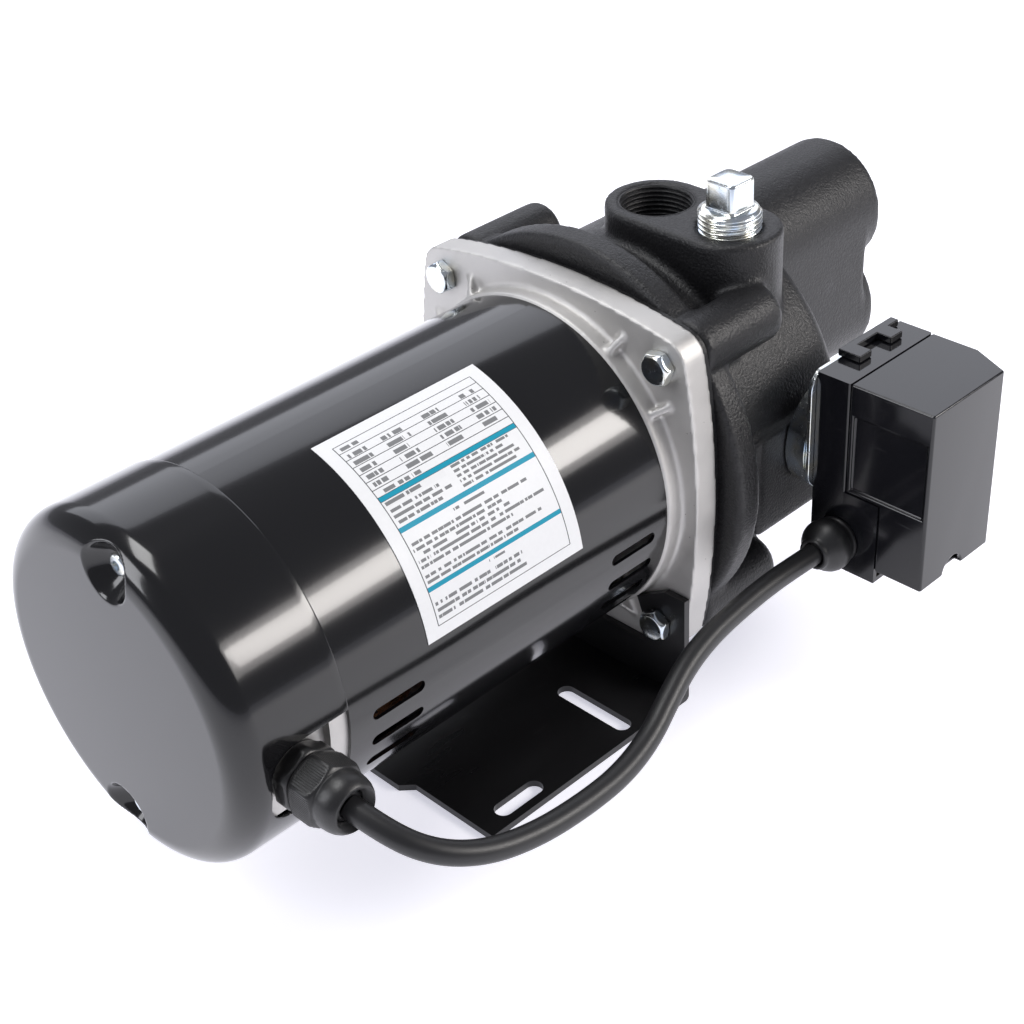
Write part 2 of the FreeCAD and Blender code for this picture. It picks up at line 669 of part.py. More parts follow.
def stator_windings():
    """Copper end turns at both ends, joined by the slot conductors."""
    rear, front = "core_rear - fit_gap", "core_front + fit_gap"
    body = ring("stator_windings", rear + " - winding_reach", rear, "winding_inner", "winding_outer")
    sketch = new_sketch(body, "conductor_outline", "YZ_Plane", rear + " - 1")
    half = "(core_slot_width / 2 - fit_gap)"
    low, high = "winding_inner + 1", "core_bore + core_slot_depth - fit_gap"
    add_polygon(sketch, [("-" + half, low), (half, low), (half, high), ("-" + half, high)])
    bar = body.newObject("PartDesign::Pad", "conductor")
    bar.Profile = sketch
    bind(bar, Length="core_length + 2 * fit_gap + 2")
    doc.recompute()
    repeat(body, bar, sketch, "core_slots")
    end = new_sketch(body, "front_turns_outline", "XZ_Plane")
    add_polygon(end, [(front, "winding_inner"), (front + " + winding_reach", "winding_inner"),
                      (front + " + winding_reach", "winding_outer"), (front, "winding_outer")])
    turn = body.newObject("PartDesign::Revolution", "front_turns")
    turn.Profile = end
    turn.ReferenceAxis = (end, ["H_Axis"])
    turn.Angle = 360
    doc.recompute()
    return body


def rotor():
    """Rotor stack and the two end rings of its cage."""
    ring("rotor_core", "core_rear", "core_front", "shaft_radius + seat_gap", "core_bore - air_gap")
    rear = ring("cage_rear", "core_rear - cage_reach", "core_rear - seat_gap", "cage_inner", "cage_outer")
    front = ring("cage_front", "core_front + seat_gap", "core_front + cage_reach", "cage_inner",
                 "cage_outer")
    group("rotor_cage", [rear, front])


def cooling_fan():
    """Moulded fan inside the front vents: hub, back disc and flat blades."""
    rear = "core_front + winding_reach + fan_gap"
    body = turned("cooling_fan", [
        (rear, "shaft_radius + seat_gap"), (rear + " + fan_depth", "shaft_radius + seat_gap"),
        (rear + " + fan_depth", "shaft_radius + hub_wall"),
        (rear + " + fan_disc", "shaft_radius + hub_wall"),
        (rear + " + fan_disc", "fan_radius"), (rear, "fan_radius")])
    sketch = new_sketch(body, "blade_outline", "YZ_Plane", rear)
    add_polygon(sketch, [("-1", "shaft_radius + hub_wall - 1"), ("1", "shaft_radius + hub_wall - 1"),
                         ("7", "fan_radius"), ("5", "fan_radius")])
    blade = body.newObject("PartDesign::Pad", "fan_blade")
    blade.Profile = sketch
    bind(blade, Length="fan_depth")
    doc.recompute()
    repeat(body, blade, sketch, "fan_blades")
    return body


def through_bolts():
    """Four long bolts that tie the two end brackets."""
    pieces = []
    start = "shell_rear - bell_web - bolt_head - face_gap"
    length = "shell_front + web_thickness - (%s)" % start
    for i, (y, z) in enumerate(signs()):
        across = ("%d * through_bolt_offset" % y, "%d * through_bolt_offset" % z)
        head = hexagon("through_head%d" % i, "8", start, "4", across)
        shank = rod("through_shank%d" % i, "through_bolt_radius", start, length, across)
        pieces.append(fuse("through_bolt%d" % i, head, shank))
    return group("through_bolts", pieces)


# ---------------------------------------------------------------- starting gear

def governor():
    """Centrifugal governor on the shaft's tail: hub, sliding collar and two flyweights."""
    front = "rear_bearing_rear - hub_lip - governor_gap"
    rear = front + " - governor_length"
    hub = turned("governor_hub_body", [
        (rear, "tail_radius + seat_gap"), (front, "tail_radius + seat_gap"), (front, "governor_arm"),
        (front + " - 3", "governor_arm"), (front + " - 3", "tail_radius + 2"), (rear, "tail_radius + 2")])
    ears = block("governor_ears", (front + " - 5", "-4", "governor_arm - 4"),
                 (front + " - 2", "4", "governor_arm + 1.5"))
    ears_low = block("governor_ears_low", (front + " - 5", "-4", "-governor_arm - 1.5"),
                     (front + " - 2", "4", "4 - governor_arm"))
    fuse("governor_hub", hub, ears, ears_low)
    collar = rear + " + 1"
    turned("governor_collar", [
        (collar, "tail_radius + 2 + running_gap"), (collar + " + 5", "tail_radius + 2 + running_gap"),
        (collar + " + 5", "tail_radius + 5"), (collar + " + 2", "tail_radius + 5"),
        (collar + " + 2", "governor_arm - 2"), (collar, "governor_arm - 2")])
    for name, sign in (("governor_weight_high", 1), ("governor_weight_low", -1)):
        low, high, edge = "governor_arm + 4", "governor_arm + 9.5", "governor_arm + 3.5"
        if sign < 0:
            low, high, edge = "-(%s)" % high, "-(%s)" % low, "-(%s)" % edge
        bar = block(name + "_bar", (front + " - 11", "-7", low), (front + " - 1", "7", high))
        pivot = rod(name + "_pivot", "1.5", "-7", "14", (front + " - 3.5", edge), "Y")
        fuse(name, bar, pivot)


def start_switch():
    """Insulating plate with the start contact, worked by the governor's collar."""
    collar = "rear_bearing_rear - hub_lip - governor_gap - governor_length + 1"
    plate = block("start_plate_board", ("start_plate_x", "-30", "-30"), ("start_plate_x + 2", "30", "-18"))
    foot = block("start_plate_foot", ("start_plate_x", "-4", "-60"), ("start_plate_x + 2", "4", "-30"))
    shelf = block("start_plate_shelf", ("start_plate_x", "-4", "-60"),
                  ("shell_rear - bell_web", "4", "-58"))
    ears = [block("start_plate_ear%d" % i, ("start_plate_x", "%s" % y, "-30"),
                  (collar, "%s + 2" % y, "-22"))
            for i, y in enumerate(("-11.5", "9.5"))]
    fuse("start_switch_plate", plate, foot, shelf, *ears)
    arm = block("contact_arm_strip", (collar + " - 2.3", "-3", "-26"), (collar + " - 0.3", "3", "-9"))
    pivot = rod("contact_arm_pivot", "1.5", "-9", "18", (collar + " - 1.3", "-26"), "Y")
    fuse("start_contact_arm", arm, pivot)


def cover_electrics():
    """Start capacitor, terminal board and thermal protector under the rear cover."""
    can = rod("capacitor_can", "capacitor_radius", "-capacitor_length / 2", "capacitor_length",
              ("capacitor_x", "capacitor_z"), "Y")
    face = -value("capacitor_length / 2")
    rim = rounded("capacitor_round", can, "2",
                  lambda edge: abs(edge.BoundBox.YMax - edge.BoundBox.YMin) < 1e-4
                  and abs(abs(edge.BoundBox.YMin) + face) < 1e-4)
    tabs = [block("capacitor_tab%d" % i,
                  ("capacitor_x - 3", "capacitor_length / 2 - 1", "capacitor_z %s 5" % sign),
                  ("capacitor_x + 3", "capacitor_length / 2 + 6", "capacitor_z %s 5 + 0.8" % sign))
            for i, sign in enumerate("-+")]
    web = "shell_rear - bell_web"
    feet = [block("capacitor_foot%d" % i, ("capacitor_x + 11", across, "capacitor_z - 1"),
                  (web, "%s + 8" % across, "capacitor_z + 1")) for i, across in enumerate(("-28", "20"))]
    fuse("start_capacitor", rim, *tabs, *feet)
    board = web + " - 3"
    base = block("terminal_board_base", (board, "9", "-50"), (board + " + 3", "37", "-26"))
    spades = [block("terminal_spade%d" % i, (board + " - 6", "%d" % (12 + 8 * i), "-38"),
                    (board + " + 1", "%d" % (16 + 8 * i), "-37.2")) for i in range(3)]
    fuse("terminal_board", base, *spades)
    disc = rod("protector_disc", "9", web + " - 8", "8", ("-24", "-44"))
    tab = block("protector_tab", (web + " - 6", "-27", "-37"), (web + " - 5", "-21", "-28"))
    fuse("thermal_protector", disc, tab)


# ---------------------------------------------------------------- front bracket and bolts

def rim_outline(name, start, length, half, corner):
    """Square block across the shaft with bulged sides and rounded corners."""
    offset = "rim_bulge - (%s)" % half
    bars = []
    for i, (y, z) in enumerate(((1, 0), (-1, 0), (0, 1), (0, -1))):
        across = ("%d * (%s)" % (y, offset), "%d * (%s)" % (z, offset))
        bars.append(rod("%s_side%d" % (name, i), "rim_bulge", start, length, across))
    square = common(name + "_square", *bars)
    axis = Vector(1, 0, 0)
    return rounded(name, square, corner, lambda edge: runs_along(edge, axis))


def bolt_bars(name, radius, start, length, corners):
    """Bars on the casing bolt centres."""
    return [rod("%s%d" % (name, i), radius, start, length, ("%d * bolt_offset" % y, "%d * bolt_offset" % z))
            for i, (y, z) in enumerate(corners)]


def gusset(name, turn):
    """Thin triangular web between the bracket's ring and its rear face."""
    reach = value("gusset_reach")
    rear = value("shell_front + 1")
    face = value("bracket_station")
    inner = value("ring_radius") - 1.5
    outline = [Vector(rear, 0, inner), Vector(face + 1, 0, inner), Vector(face + 1, 0, inner + reach)]
    wire = Part.makePolygon(outline + outline[:1])
    half = value("gusset_thickness") / 2
    shape = Part.Face(wire).extrude(Vector(0, 2 * half, 0))
    shape.translate(Vector(0, -half, 0))
    shape.rotate(Vector(), Vector(1, 0, 0), turn)
    item = doc.addObject("Part::Feature", name)
    item.Shape = shape
    return lift(item)


def front_end_bracket():
    """Cast aluminium bracket: spigot, ring round the shell, rim, bearing hub and gussets."""
    rim = rim_outline("bracket_rim", "bracket_station", "rim_thickness", "rim_half_width", "rim_round")
    hub, fit = "front_bearing_outer + hub_wall", "shell_bore - running_gap"
    web = "shell_front + web_thickness"
    core = turned("bracket_core", [
        ("front_bearing_rear", "front_bearing_outer"), ("front_bearing_front", "front_bearing_outer"),
        ("front_bearing_front", "stub_radius + 4"), (web, "stub_radius + 4"), (web, "ring_radius - 1"),
        ("bracket_station + 1", "ring_radius - 1"), ("bracket_station + 1", "ring_radius"),
        ("shell_front + seat_gap", "ring_radius"), ("shell_front + seat_gap", fit),
        ("shell_front - spigot_length", fit), ("shell_front - spigot_length", "shell_bore - hub_wall"),
        ("shell_front", "shell_bore - hub_wall"), ("shell_front", hub), ("front_bearing_rear", hub)])
    bosses = bolt_bars("bracket_boss", "bolt_boss_radius", "bracket_station", "rim_thickness", signs())
    beside = ((45, -1), (45, 1), (135, 1), (225, -1), (315, -1), (315, 1))
    gussets = [gusset("gusset%d" % i, diagonal + side * value("gusset_turn"))
               for i, (diagonal, side) in enumerate(beside)]
    cavity = rod("bracket_cavity", "cavity_radius", web, "rim_front - (%s) + 1" % web)
    holes = bolt_bars("bracket_bolt_hole", "bolt_radius + fit_gap", "shell_front", "rim_thickness * 3",
                      signs())
    windows = [rod("bracket_window%d" % i, "bell_window_radius", "shell_front - 2", "web_thickness + 3",
                   ("bracket_window_circle * cos(%d)" % turn, "bracket_window_circle * sin(%d)" % turn))
               for i, turn in enumerate((0, 90, 180, 270))]
    ties = [rod("bracket_tie_hole%d" % i, "through_bolt_radius + fit_gap", "shell_front - 2",
                "web_thickness + 3",
                ("%d * through_bolt_offset" % y, "%d * through_bolt_offset" % z))
            for i, (y, z) in enumerate(signs())]
    solid = fuse("bracket_solid", rim, core, *bosses, *gussets)
    return cut("front_end_bracket", solid, cavity, *holes, *windows, *ties)


def casing_bolts():
    """Four hex bolts: the upper pair bears on the bracket, the lower pair on the ears."""
    pieces = []
    for i, (y, z) in enumerate(signs()):
        seat_x = "bracket_station - face_gap / 2" if z > 0 else "bracket_station - plate_thickness - face_gap / 2"
        across = ("%d * bolt_offset" % y, "%d * bolt_offset" % z)
        head = hexagon("casing_bolt_head%d" % i, "bolt_flats", seat_x + " - bolt_head", "bolt_head", across)
        crown = cone("casing_bolt_crown%d" % i, "bolt_flats / 2 - 0.2", "bolt_flats / 2 + 2.6",
                     seat_x + " - bolt_head", "bolt_head", across)
        shank = rod("casing_bolt_shank%d" % i, "bolt_radius - 0.1", seat_x + " - 1",
                    "seal_front + bolt_thread - (%s) + 1" % seat_x, across)
        pieces.append(fuse("casing_bolt%d" % i, common("casing_bolt_top%d" % i, head, crown), shank))
    return group("casing_bolts", pieces)


# ---------------------------------------------------------------- seal plate and casing

def seal_plate():
    """Black plate between bracket and casing; its boss carries the stationary seal."""
    rim = rim_outline("seal_rim", "rim_front", "seal_plate_thickness", "rim_half_width - 1.5", "rim_round")
    boss = rod("seal_boss", "seal_seat_radius + hub_wall", "seal_front - seal_boss_depth",
               "seal_boss_depth")
    spigot = ring("seal_spigot", "rim_front - 3", "rim_front + 1", "cavity_radius - 6",
                  "cavity_radius - running_gap")
    bore = rod("seal_plate_bore", "stub_radius + 1.6", "seal_front - seal_boss_depth - 1",
               "seal_boss_depth + 3")
    seat_bore = rod("seal_plate_seat", "seal_seat_radius", "seal_front - seal_seat_length",
                    "seal_seat_length + 2")
    holes = bolt_bars("seal_plate_hole", "bolt_radius + fit_gap", "rim_front - 1",
                      "seal_plate_thickness + 2", signs())
    return cut("seal_plate", fuse("seal_plate_solid", rim, boss, spigot), bore, seat_bore, *holes)


def shaft_seal():
    """Mechanical seal: ceramic seat, carbon head, its spring, and a slinger behind the plate."""
    seat_rear = "seal_front - seal_seat_length"
    ring("seal_seat", seat_rear + " + seat_gap", "seal_front", "stub_radius + 0.6",
         "seal_seat_radius - seat_gap")
    ring("seal_head", "seal_front + 0.05", "seal_front + 3.5", "stub_radius + seat_gap",
         "seal_seat_radius - 1")
    ring("seal_spring", "seal_front + 3.6", "impeller_rear - 0.1", "stub_radius + 0.5", "stub_radius + 3")
    ring("water_slinger", "seal_front - seal_boss_depth - 5", "seal_front - seal_boss_depth - 2",
         "stub_radius + seat_gap", "stub_radius + 7")


def casing_outside():
    """Flange, drum, bolt bosses, port boss, switch pad, suction barrel and ejector housing."""
    flange = rod("casing_flange", "flange_radius", "seal_front", "flange_thickness")
    flange_face = value("seal_front + flange_thickness")
    flange = rounded("casing_flange_soft", flange, "1.5", lambda edge: at_station(edge, flange_face))
    drum = rod("casing_drum", "drum_radius", "seal_front + 1", "casing_depth - 1")
    nose = value("drum_front")
    drum = rounded("casing_drum_soft", drum, "8", lambda edge: at_station(edge, nose))
    bosses = []
    boss_end = value("seal_front + boss_reach")
    for bar in bolt_bars("casing_boss", "boss_radius", "seal_front", "boss_reach", signs()):
        bosses.append(rounded(bar.Name + "_soft", bar, "4", lambda edge: at_station(edge, boss_end)))
    top = "port_height - port_root"
    ports = [rod("port_boss%d" % i, "port_boss_radius", "port_root", top, ("port_x", y), "Z")
             for i, y in enumerate(("0", "-plug_offset"))]
    bridge = block("port_bridge", ("port_x - port_boss_radius", "-plug_offset", "port_root"),
                   ("port_x + port_boss_radius", "0", "port_height"))
    boss_top = fuse("port_boss", *ports, bridge)
    doc.recompute()
    height = value("port_height + shaft_height")
    port = rounded("port_boss_soft", boss_top, "1.5", lambda edge: abs(edge.BoundBox.ZMin - height) < 1e-4
                   and abs(edge.BoundBox.ZMax - height) < 1e-4)
    side = block("switch_pad", ("pad_start", "-drum_radius - pad_rise", "-pad_low"),
                 ("drum_front - 8", "-drum_radius / 2", "pad_high"))
    inside = "drum_front - 14"
    barrel = rod("suction_barrel", "barrel_radius", inside, "barrel_front - (%s)" % inside,
                 ("0", "barrel_height"))
    ejector = rod("ejector_housing", "barrel_radius", inside, "ejector_front - (%s)" % inside)
    ends = (value("barrel_front"), value("ejector_front"))
    barrel = rounded("suction_barrel_soft", barrel, "1.5", lambda edge: at_station(edge, ends[0]))
    ejector = rounded("ejector_soft", ejector, "3", lambda edge: at_station(edge, ends[1]))
    web = block("housing_web", (inside, "-barrel_radius", "0"),
                ("seal_front + web_reach", "barrel_radius", "barrel_height"))
    drain = rod("drain_boss", "drain_radius + 4.5", inside, "drum_front + drain_reach - (%s)" % inside,
                ("0", "-drain_drop"))
    return fuse("casing_solid", flange, drum, *bosses, port, side, barrel, ejector, web, drain)


def pump_casing():
    """Cast iron casing with its ports, chambers, bolt threads and seal groove."""
    rear = "seal_front - 1"
    bore = rod("casing_bore", "drum_bore", rear, "casing_depth - front_wall + 1")
    discharge = rod("discharge_bore", "discharge_radius", "port_floor", "port_height - port_floor + 1",
                    ("port_x", "0"), "Z")
    prime = rod("priming_bore", "plug_radius + running_gap", "port_floor", "port_height - port_floor + 1",
                ("port_x", "-plug_offset"), "Z")
    nipple = rod("nipple_bore", "nipple_radius", "-drum_radius - pad_rise - 1", "drum_wall + pad_rise + 6",
                 ("nipple_x", "nipple_z"), "Y")
    suction = rod("suction_bore", "suction_radius", "barrel_front - suction_depth", "suction_depth + 1",
                  ("0", "barrel_height"))
    start = "drum_front + chamber_wall"
    upper = rod("chamber_upper", "chamber_radius", start, "barrel_front - (%s) - 1" % start,
                ("0", "barrel_height"))
    lower = rod("chamber_lower", "chamber_radius", start, "nozzle_seat - (%s)" % start)
    link_box = block("chamber_link", (start, "-chamber_radius", "0"),
                     ("nozzle_seat", "chamber_radius", "barrel_height"))
    access = rod("access_bore", "access_radius", "nozzle_seat - 1", "ejector_front - nozzle_seat + 2")
    tube = rod("venturi_bore", "venturi_radius + running_gap", "drum_front - front_wall - 1",
               "front_wall + chamber_wall + 2")
    feed = rod("drive_passage", "passage_radius", "drum_front - front_wall - 1",
               "nozzle_seat + 7 - drum_front + front_wall + 1", ("0", "-passage_drop"))
    riser = rod("drive_riser", "passage_radius - 0.5", "-passage_drop - 1",
                "passage_drop - access_radius + 3",
                ("nozzle_seat + 5", "0"), "Z")
    drain = rod("drain_bore", "drain_radius", "drum_front - front_wall - 1", "front_wall + drain_reach + 2",
                ("0", "-drain_drop"))
    threads = bolt_bars("casing_thread", "bolt_radius", rear, "bolt_thread + 6", signs())
    groove = ring("seal_groove", rear, "seal_front + 2.6", "drum_bore + 1.8", "drum_bore + 5.4")
    return cut("pump_casing", casing_outside(), bore, discharge, prime, nipple, suction, upper, lower,
               link_box,
               access, tube, feed, riser, drain, *threads, groove)


def casing_seal():
    """Round-section rubber ring in the casing's groove."""
    item = doc.addObject("Part::Torus", "casing_seal")
    item.Placement = Placement(Vector(), TURNS["X"])
    bind(item, Radius1="drum_bore + 3.6", Radius2="1.25")
    return lift(item, "seal_front + 1.3")


# ---------------------------------------------------------------- pump internals and plugs

def impeller():
    """Closed impeller: back shroud and hub, six leaning vanes, front shroud with its eye."""
    rear, front = "impeller_rear", "impeller_front"
    body = turned("impeller", [
        (rear, "stub_radius + seat_gap"), (front + " - 1", "stub_radius + seat_gap"),
        (front + " - 1", "stub_radius + 4"), (rear + " + shroud", "stub_radius + 5"),
        (rear + " + shroud", "impeller_radius"), (rear, "impeller_radius")])
    sketch = new_sketch(body, "vane_outline", "YZ_Plane", rear)
    add_polygon(sketch,
                [("0", "stub_radius + 8"), ("2.4", "stub_radius + 8"), ("12.4", "impeller_radius * 0.62"),
                         ("30", "impeller_radius - 10"), ("27", "impeller_radius - 9.5"),
                         ("9.6", "impeller_radius * 0.62")])
    vane = body.newObject("PartDesign::Pad", "vane")
    vane.Profile = sketch
    bind(vane, Length="impeller_width - shroud / 2")
    doc.recompute()
    repeat(body, vane, sketch, "6")
    cover = new_sketch(body, "front_shroud_outline", "XZ_Plane")
    add_polygon(cover,
                [(front + " - shroud", "eye_radius"), (front, "eye_radius"), (front, "impeller_radius"),
                        (front + " - shroud", "impeller_radius")])
    shroud = body.newObject("PartDesign::Revolution", "front_shroud")
    shroud.Profile = cover
    shroud.ReferenceAxis = (cover, ["H_Axis"])
    shroud.Angle = 360
    doc.recompute()
    return body


def diffuser():
    """Moulded cup round the impeller with four outlet windows."""
    face = "impeller_front + 2"
    bore = "venturi_radius + running_gap"
    skirt = "diffuser_radius - 2.5"
    body = turned("diffuser", [
        (face, bore), (face + " + 3.5", bore), (face + " + 3.5", "diffuser_radius"),
        ("seal_front + face_gap", "diffuser_radius"), ("seal_front + face_gap", skirt), (face, skirt)])
    middle = "(seal_front + impeller_front) / 2"
    pocket(body, "outlets_across", "XZ_Plane", lambda sketch: add_circle(sketch, middle, "0", "5"))
    pocket(body, "outlets_upright", "XY_Plane", lambda sketch: add_circle(sketch, middle, "0", "5"))
    return body


def ejector_parts():
    """Venturi tube, nozzle and the plug that closes the access bore."""
    turned("venturi_tube", [
        ("venturi_rear", "throat_radius + 3"), ("venturi_rear + 24", "throat_radius"),
        ("venturi_front - 12", "throat_radius"), ("venturi_front", "venturi_radius - 1.5"),
        ("venturi_front", "venturi_radius"), ("venturi_rear", "venturi_radius")])
    base, tip = "nozzle_seat + 6", "venturi_front + nozzle_gap"
    turned("jet_nozzle", [
        (base, "access_radius - 5"), ("nozzle_seat - 2", "access_radius - 5"), (tip, "2.2"), (tip, "4"),
        ("nozzle_seat - 3", "access_radius - 2"), ("nozzle_seat + seat_gap", "access_radius - 2"),
        ("nozzle_seat + seat_gap", "access_radius - running_gap"), (base, "access_radius - running_gap")])
    start = "nozzle_seat + 11"
    stem = rod("access_stem", "access_radius - running_gap", start, "ejector_front - 1 - (%s)" % start)
    socket = hexagon("access_socket", "12", "ejector_front - 9", "10")
    cut("ejector_plug", stem, socket)


def priming_plug():
    """Zinc plated pipe plug: threaded body with a bevelled top and a square head."""
    across = ("port_x", "-plug_offset")
    low = "port_height - plug_engaged"
    body = rod("plug_body", "plug_radius", low, "plug_engaged + plug_rise", across, "Z")
    rim = value("port_height + plug_rise + shaft_height")
    soft = rounded("plug_soft", body, "1.2", lambda edge: abs(edge.BoundBox.ZMin - rim) < 1e-4)
    half = "plug_head / 2"
    top = "port_height + plug_rise"
    head = block("plug_square", ("port_x - " + half, "-plug_offset - " + half, top + " - 1"),
                 ("port_x + " + half, "-plug_offset + " + half, top + " + plug_head_height"))
    hollow = rod("plug_hollow", "plug_radius - 3", low + " - 1", "plug_engaged - 2", across, "Z")
    edges = Vector(0, 0, 1)
    head = rounded("plug_square_soft", head, "2.5", lambda edge: runs_along(edge, edges))
    return cut("priming_plug", fuse("plug_joined", soft, head), hollow)


def drain_plug():
    """Small square-headed pipe plug low on the casing's front."""
    end = "drum_front + drain_reach"
    stem = rod("drain_stem", "drain_radius - running_gap", "drum_front - front_wall + 1",
               "front_wall + drain_reach + 1", ("0", "-drain_drop"))
    head = block("drain_head", (end, "-4", "-drain_drop - 4"), (end + " + 6", "4", "4 - drain_drop"))
    return fuse("drain_plug", stem, head)


# ---------------------------------------------------------------- pressure switch

def switch_mounting():
    """Nipple into the casing pad, pressure housing and the steel back plate."""
    centre = ("nipple_x", "nipple_z")
    back = "-switch_back"
    inner = "-drum_radius - pad_rise"
    housing = back + " + switch_housing_depth"
    stem = rod("nipple_stem", "nipple_radius - running_gap", housing,
               "drum_wall + 6 - (%s)" % housing + " - drum_radius",
               centre, "Y")
    bore = rod("nipple_waterway", "3", housing + " - 1", "40", centre, "Y")
    cut("switch_nipple", stem, bore)
    disc = rod("housing_disc", "switch_housing_radius", back + " + 2.2", "switch_housing_depth - 2.4",
               centre, "Y")
    well = rod("housing_well", "switch_housing_radius - 6", back + " + 2", "3.2", centre, "Y")
    port = rod("housing_port", "3.5", back, "switch_housing_depth + 2", centre, "Y")
    cut("switch_housing", disc, well, port)
    edges = Vector(0, 1, 0)
    plate = block("back_plate_blank", ("switch_near_x - plate_margin", back, "-plate_drop"),
                  ("switch_far_x", back + " + 2", "switch_top - 0.5"))
    plate = rounded("back_plate_soft", plate, "9", lambda edge: runs_along(edge, edges))
    cut("switch_back_plate", plate,
        rod("back_plate_hole", "plunger_radius + 1", back + " - 1", "4", centre, "Y"))


def switch_outline(inset):
    """Plan of the switch housing with its bevelled far corner, moved in by a wall."""
    near, far = "switch_near_x + %s" % inset, "switch_far_x - %s" % inset
    face = "-(switch_face - %s)" % inset
    back = "-switch_back + 1" if inset != "0" else "-switch_back"
    return [(near, back), (far, back), (far, "-(switch_face - chamfer_y)"),
            ("switch_far_x - chamfer_x", face),
            (near, face)]


def switch_shells():
    """Base and cover of the switch, parted along an L-shaped line."""
    base = pad("switch_base_block", "YZ_Plane", "switch_near_x", "switch_width", [
        ("-switch_back - face_gap", "switch_top"), ("-switch_back - split_upper", "switch_top"),
        ("-switch_back - split_upper", "-split_level"), ("-switch_back - split_lower", "-split_level"),
        ("-switch_back - split_lower", "-switch_bottom"), ("-switch_back - face_gap", "-switch_bottom")])
    axis = Vector(0, 0, 1)
    corner = value("-switch_back - split_upper")
    base = round_body(base, "1",
                      lambda edge: runs_along(edge, axis) and abs(edge.BoundBox.YMin - corner) < 1e-4)
    tray = block("switch_base_tray",
                 ("switch_near_x + switch_wall", "-switch_face", "switch_wall - switch_bottom"),
                 ("switch_far_x - switch_wall", "-switch_back - switch_wall", "switch_top - switch_wall"))
    hole = rod("switch_base_hole", "plunger_radius + 1", "-switch_back - 5", "10", ("nipple_x", "nipple_z"),
               "Y")
    entry = rod("switch_cable_entry", "cable_radius + fit_gap", "switch_near_x - 1", "switch_wall + 2",
                ("-relief_y", "-relief_z"))
    cut("switch_base", base, tray, hole, entry)
    shell = pad("switch_cover_block", "XY_Plane", "-cover_bottom", "cover_bottom + switch_top",
                switch_outline("0"))
    front_corner = value("-switch_face")
    shell = round_body(shell, "1.2", lambda edge: runs_along(edge, axis)
                       and abs(edge.BoundBox.YMin - front_corner) < 1e-4)
    hollow = pad("switch_cover_hollow", "XY_Plane", "switch_wall - cover_bottom",
                 "cover_bottom + switch_top - 2 * switch_wall", switch_outline("switch_wall"))
    upper = block("switch_step_upper",
                  ("switch_near_x - 1", "-switch_back - split_upper - fit_gap", "-switch_bottom"),
                  ("switch_far_x + 1", "1 - switch_back", "switch_top + 1"))
    lower = block("switch_step_lower",
                  ("switch_near_x - 1", "-switch_back - split_lower - fit_gap", "-switch_bottom"),
                  ("switch_far_x + 1", "1 - switch_back", "fit_gap - split_level"))
    window = block("switch_window", ("switch_near_x - 1", "2.2 - switch_face", "-split_level + 2.5"),
                   ("switch_near_x + window_depth", "-switch_back - split_upper - 2.5", "window_top"))
    scoop = rod("switch_scoop", "6.5", "-switch_face - 1", "switch_wall + 2",
                ("switch_near_x + 22.5", "-cover_bottom"),
                "Y")
    return cut("switch_cover", shell, hollow, upper, lower, window, scoop)


def switch_latch():
    """C-shaped clip on top of the switch."""
    low, high = "switch_top + face_gap", "switch_top + 3.4"
    bar = block("latch_bar", ("latch_x", "-latch_y - 4", low), ("latch_x + latch_width", "-latch_y", high))
    prongs = [block("latch_prong%d" % i, (start, "-latch_y - 11", low), (start + " + 8", "-latch_y", high))
              for i, start in enumerate(("latch_x", "latch_x + latch_width - 15"))]
    return fuse("switch_latch", bar, *prongs)


def switch_works():
    """Lever with its button, two springs with studs and nuts, contact block and terminals."""
    floor = "-switch_back - switch_wall"
    lever_y = floor + " - lever_gap"
    x = "nipple_x"
    plate = block("lever_plate", (x + " - 13", lever_y + " - 1.6", "-4"), (x + " + 13", lever_y, "34"))
    slot = rod("lever_hole", "4.6", lever_y + " - 3", "6", (x, "spring_z"), "Y")
    foot = rod("lever_pivot", "2", x + " - 13", "26", (lever_y + " - 1.2", "-4"))
    button = rod("lever_button", "plunger_radius", lever_y + " - 0.5", "2.5 - switch_back - (%s)" % lever_y,
                 (x, "nipple_z"), "Y")
    cut("switch_lever", fuse("lever_joined", plate, foot, button), slot)
    stud_end = "-switch_face + 8"
    springs = []
    hardware = []
    for name, radius, along in (("range", "9", "0"), ("differential", "4.5", "18")):
        spot = (x + " + " + along, "spring_z")
        coil_start = stud_end + " + 5"
        clear = lever_y + " - 5" if name == "range" else floor + " - 1"
        outer = rod(name + "_coil", radius, coil_start, "%s - (%s)" % (clear, coil_start), spot, "Y")
        inner = rod(name + "_coil_bore", radius + " - 1.8", coil_start + " - 1", "80", spot, "Y")
        springs.append(cut(name + "_spring", outer, inner))
        stud = rod(name + "_stud", "2.2", stud_end, "%s - (%s) - face_gap" % (floor, stud_end), spot, "Y")
        nut = hexagon(name + "_nut", "(%s) * 1.6" % radius, coil_start + " - 4", "3.8", spot, "Y")
        hardware.append(fuse(name + "_stud_and_nut", stud, nut))
    block("contact_block", (x + " - 16", floor + " - 22", "3 - switch_bottom"),
          (x + " + 16", floor + " - face_gap", "-8"))
    screws = [rod("terminal%d" % i, "2.6", floor + " - 24.4", "2.2",
                  (x + " + %d" % (8 * i - 12), "-24"), "Y") for i in range(4)]
    group("switch_springs", springs)
    group("switch_hardware", hardware + screws)


# ---------------------------------------------------------------- gland, cable and strain relief

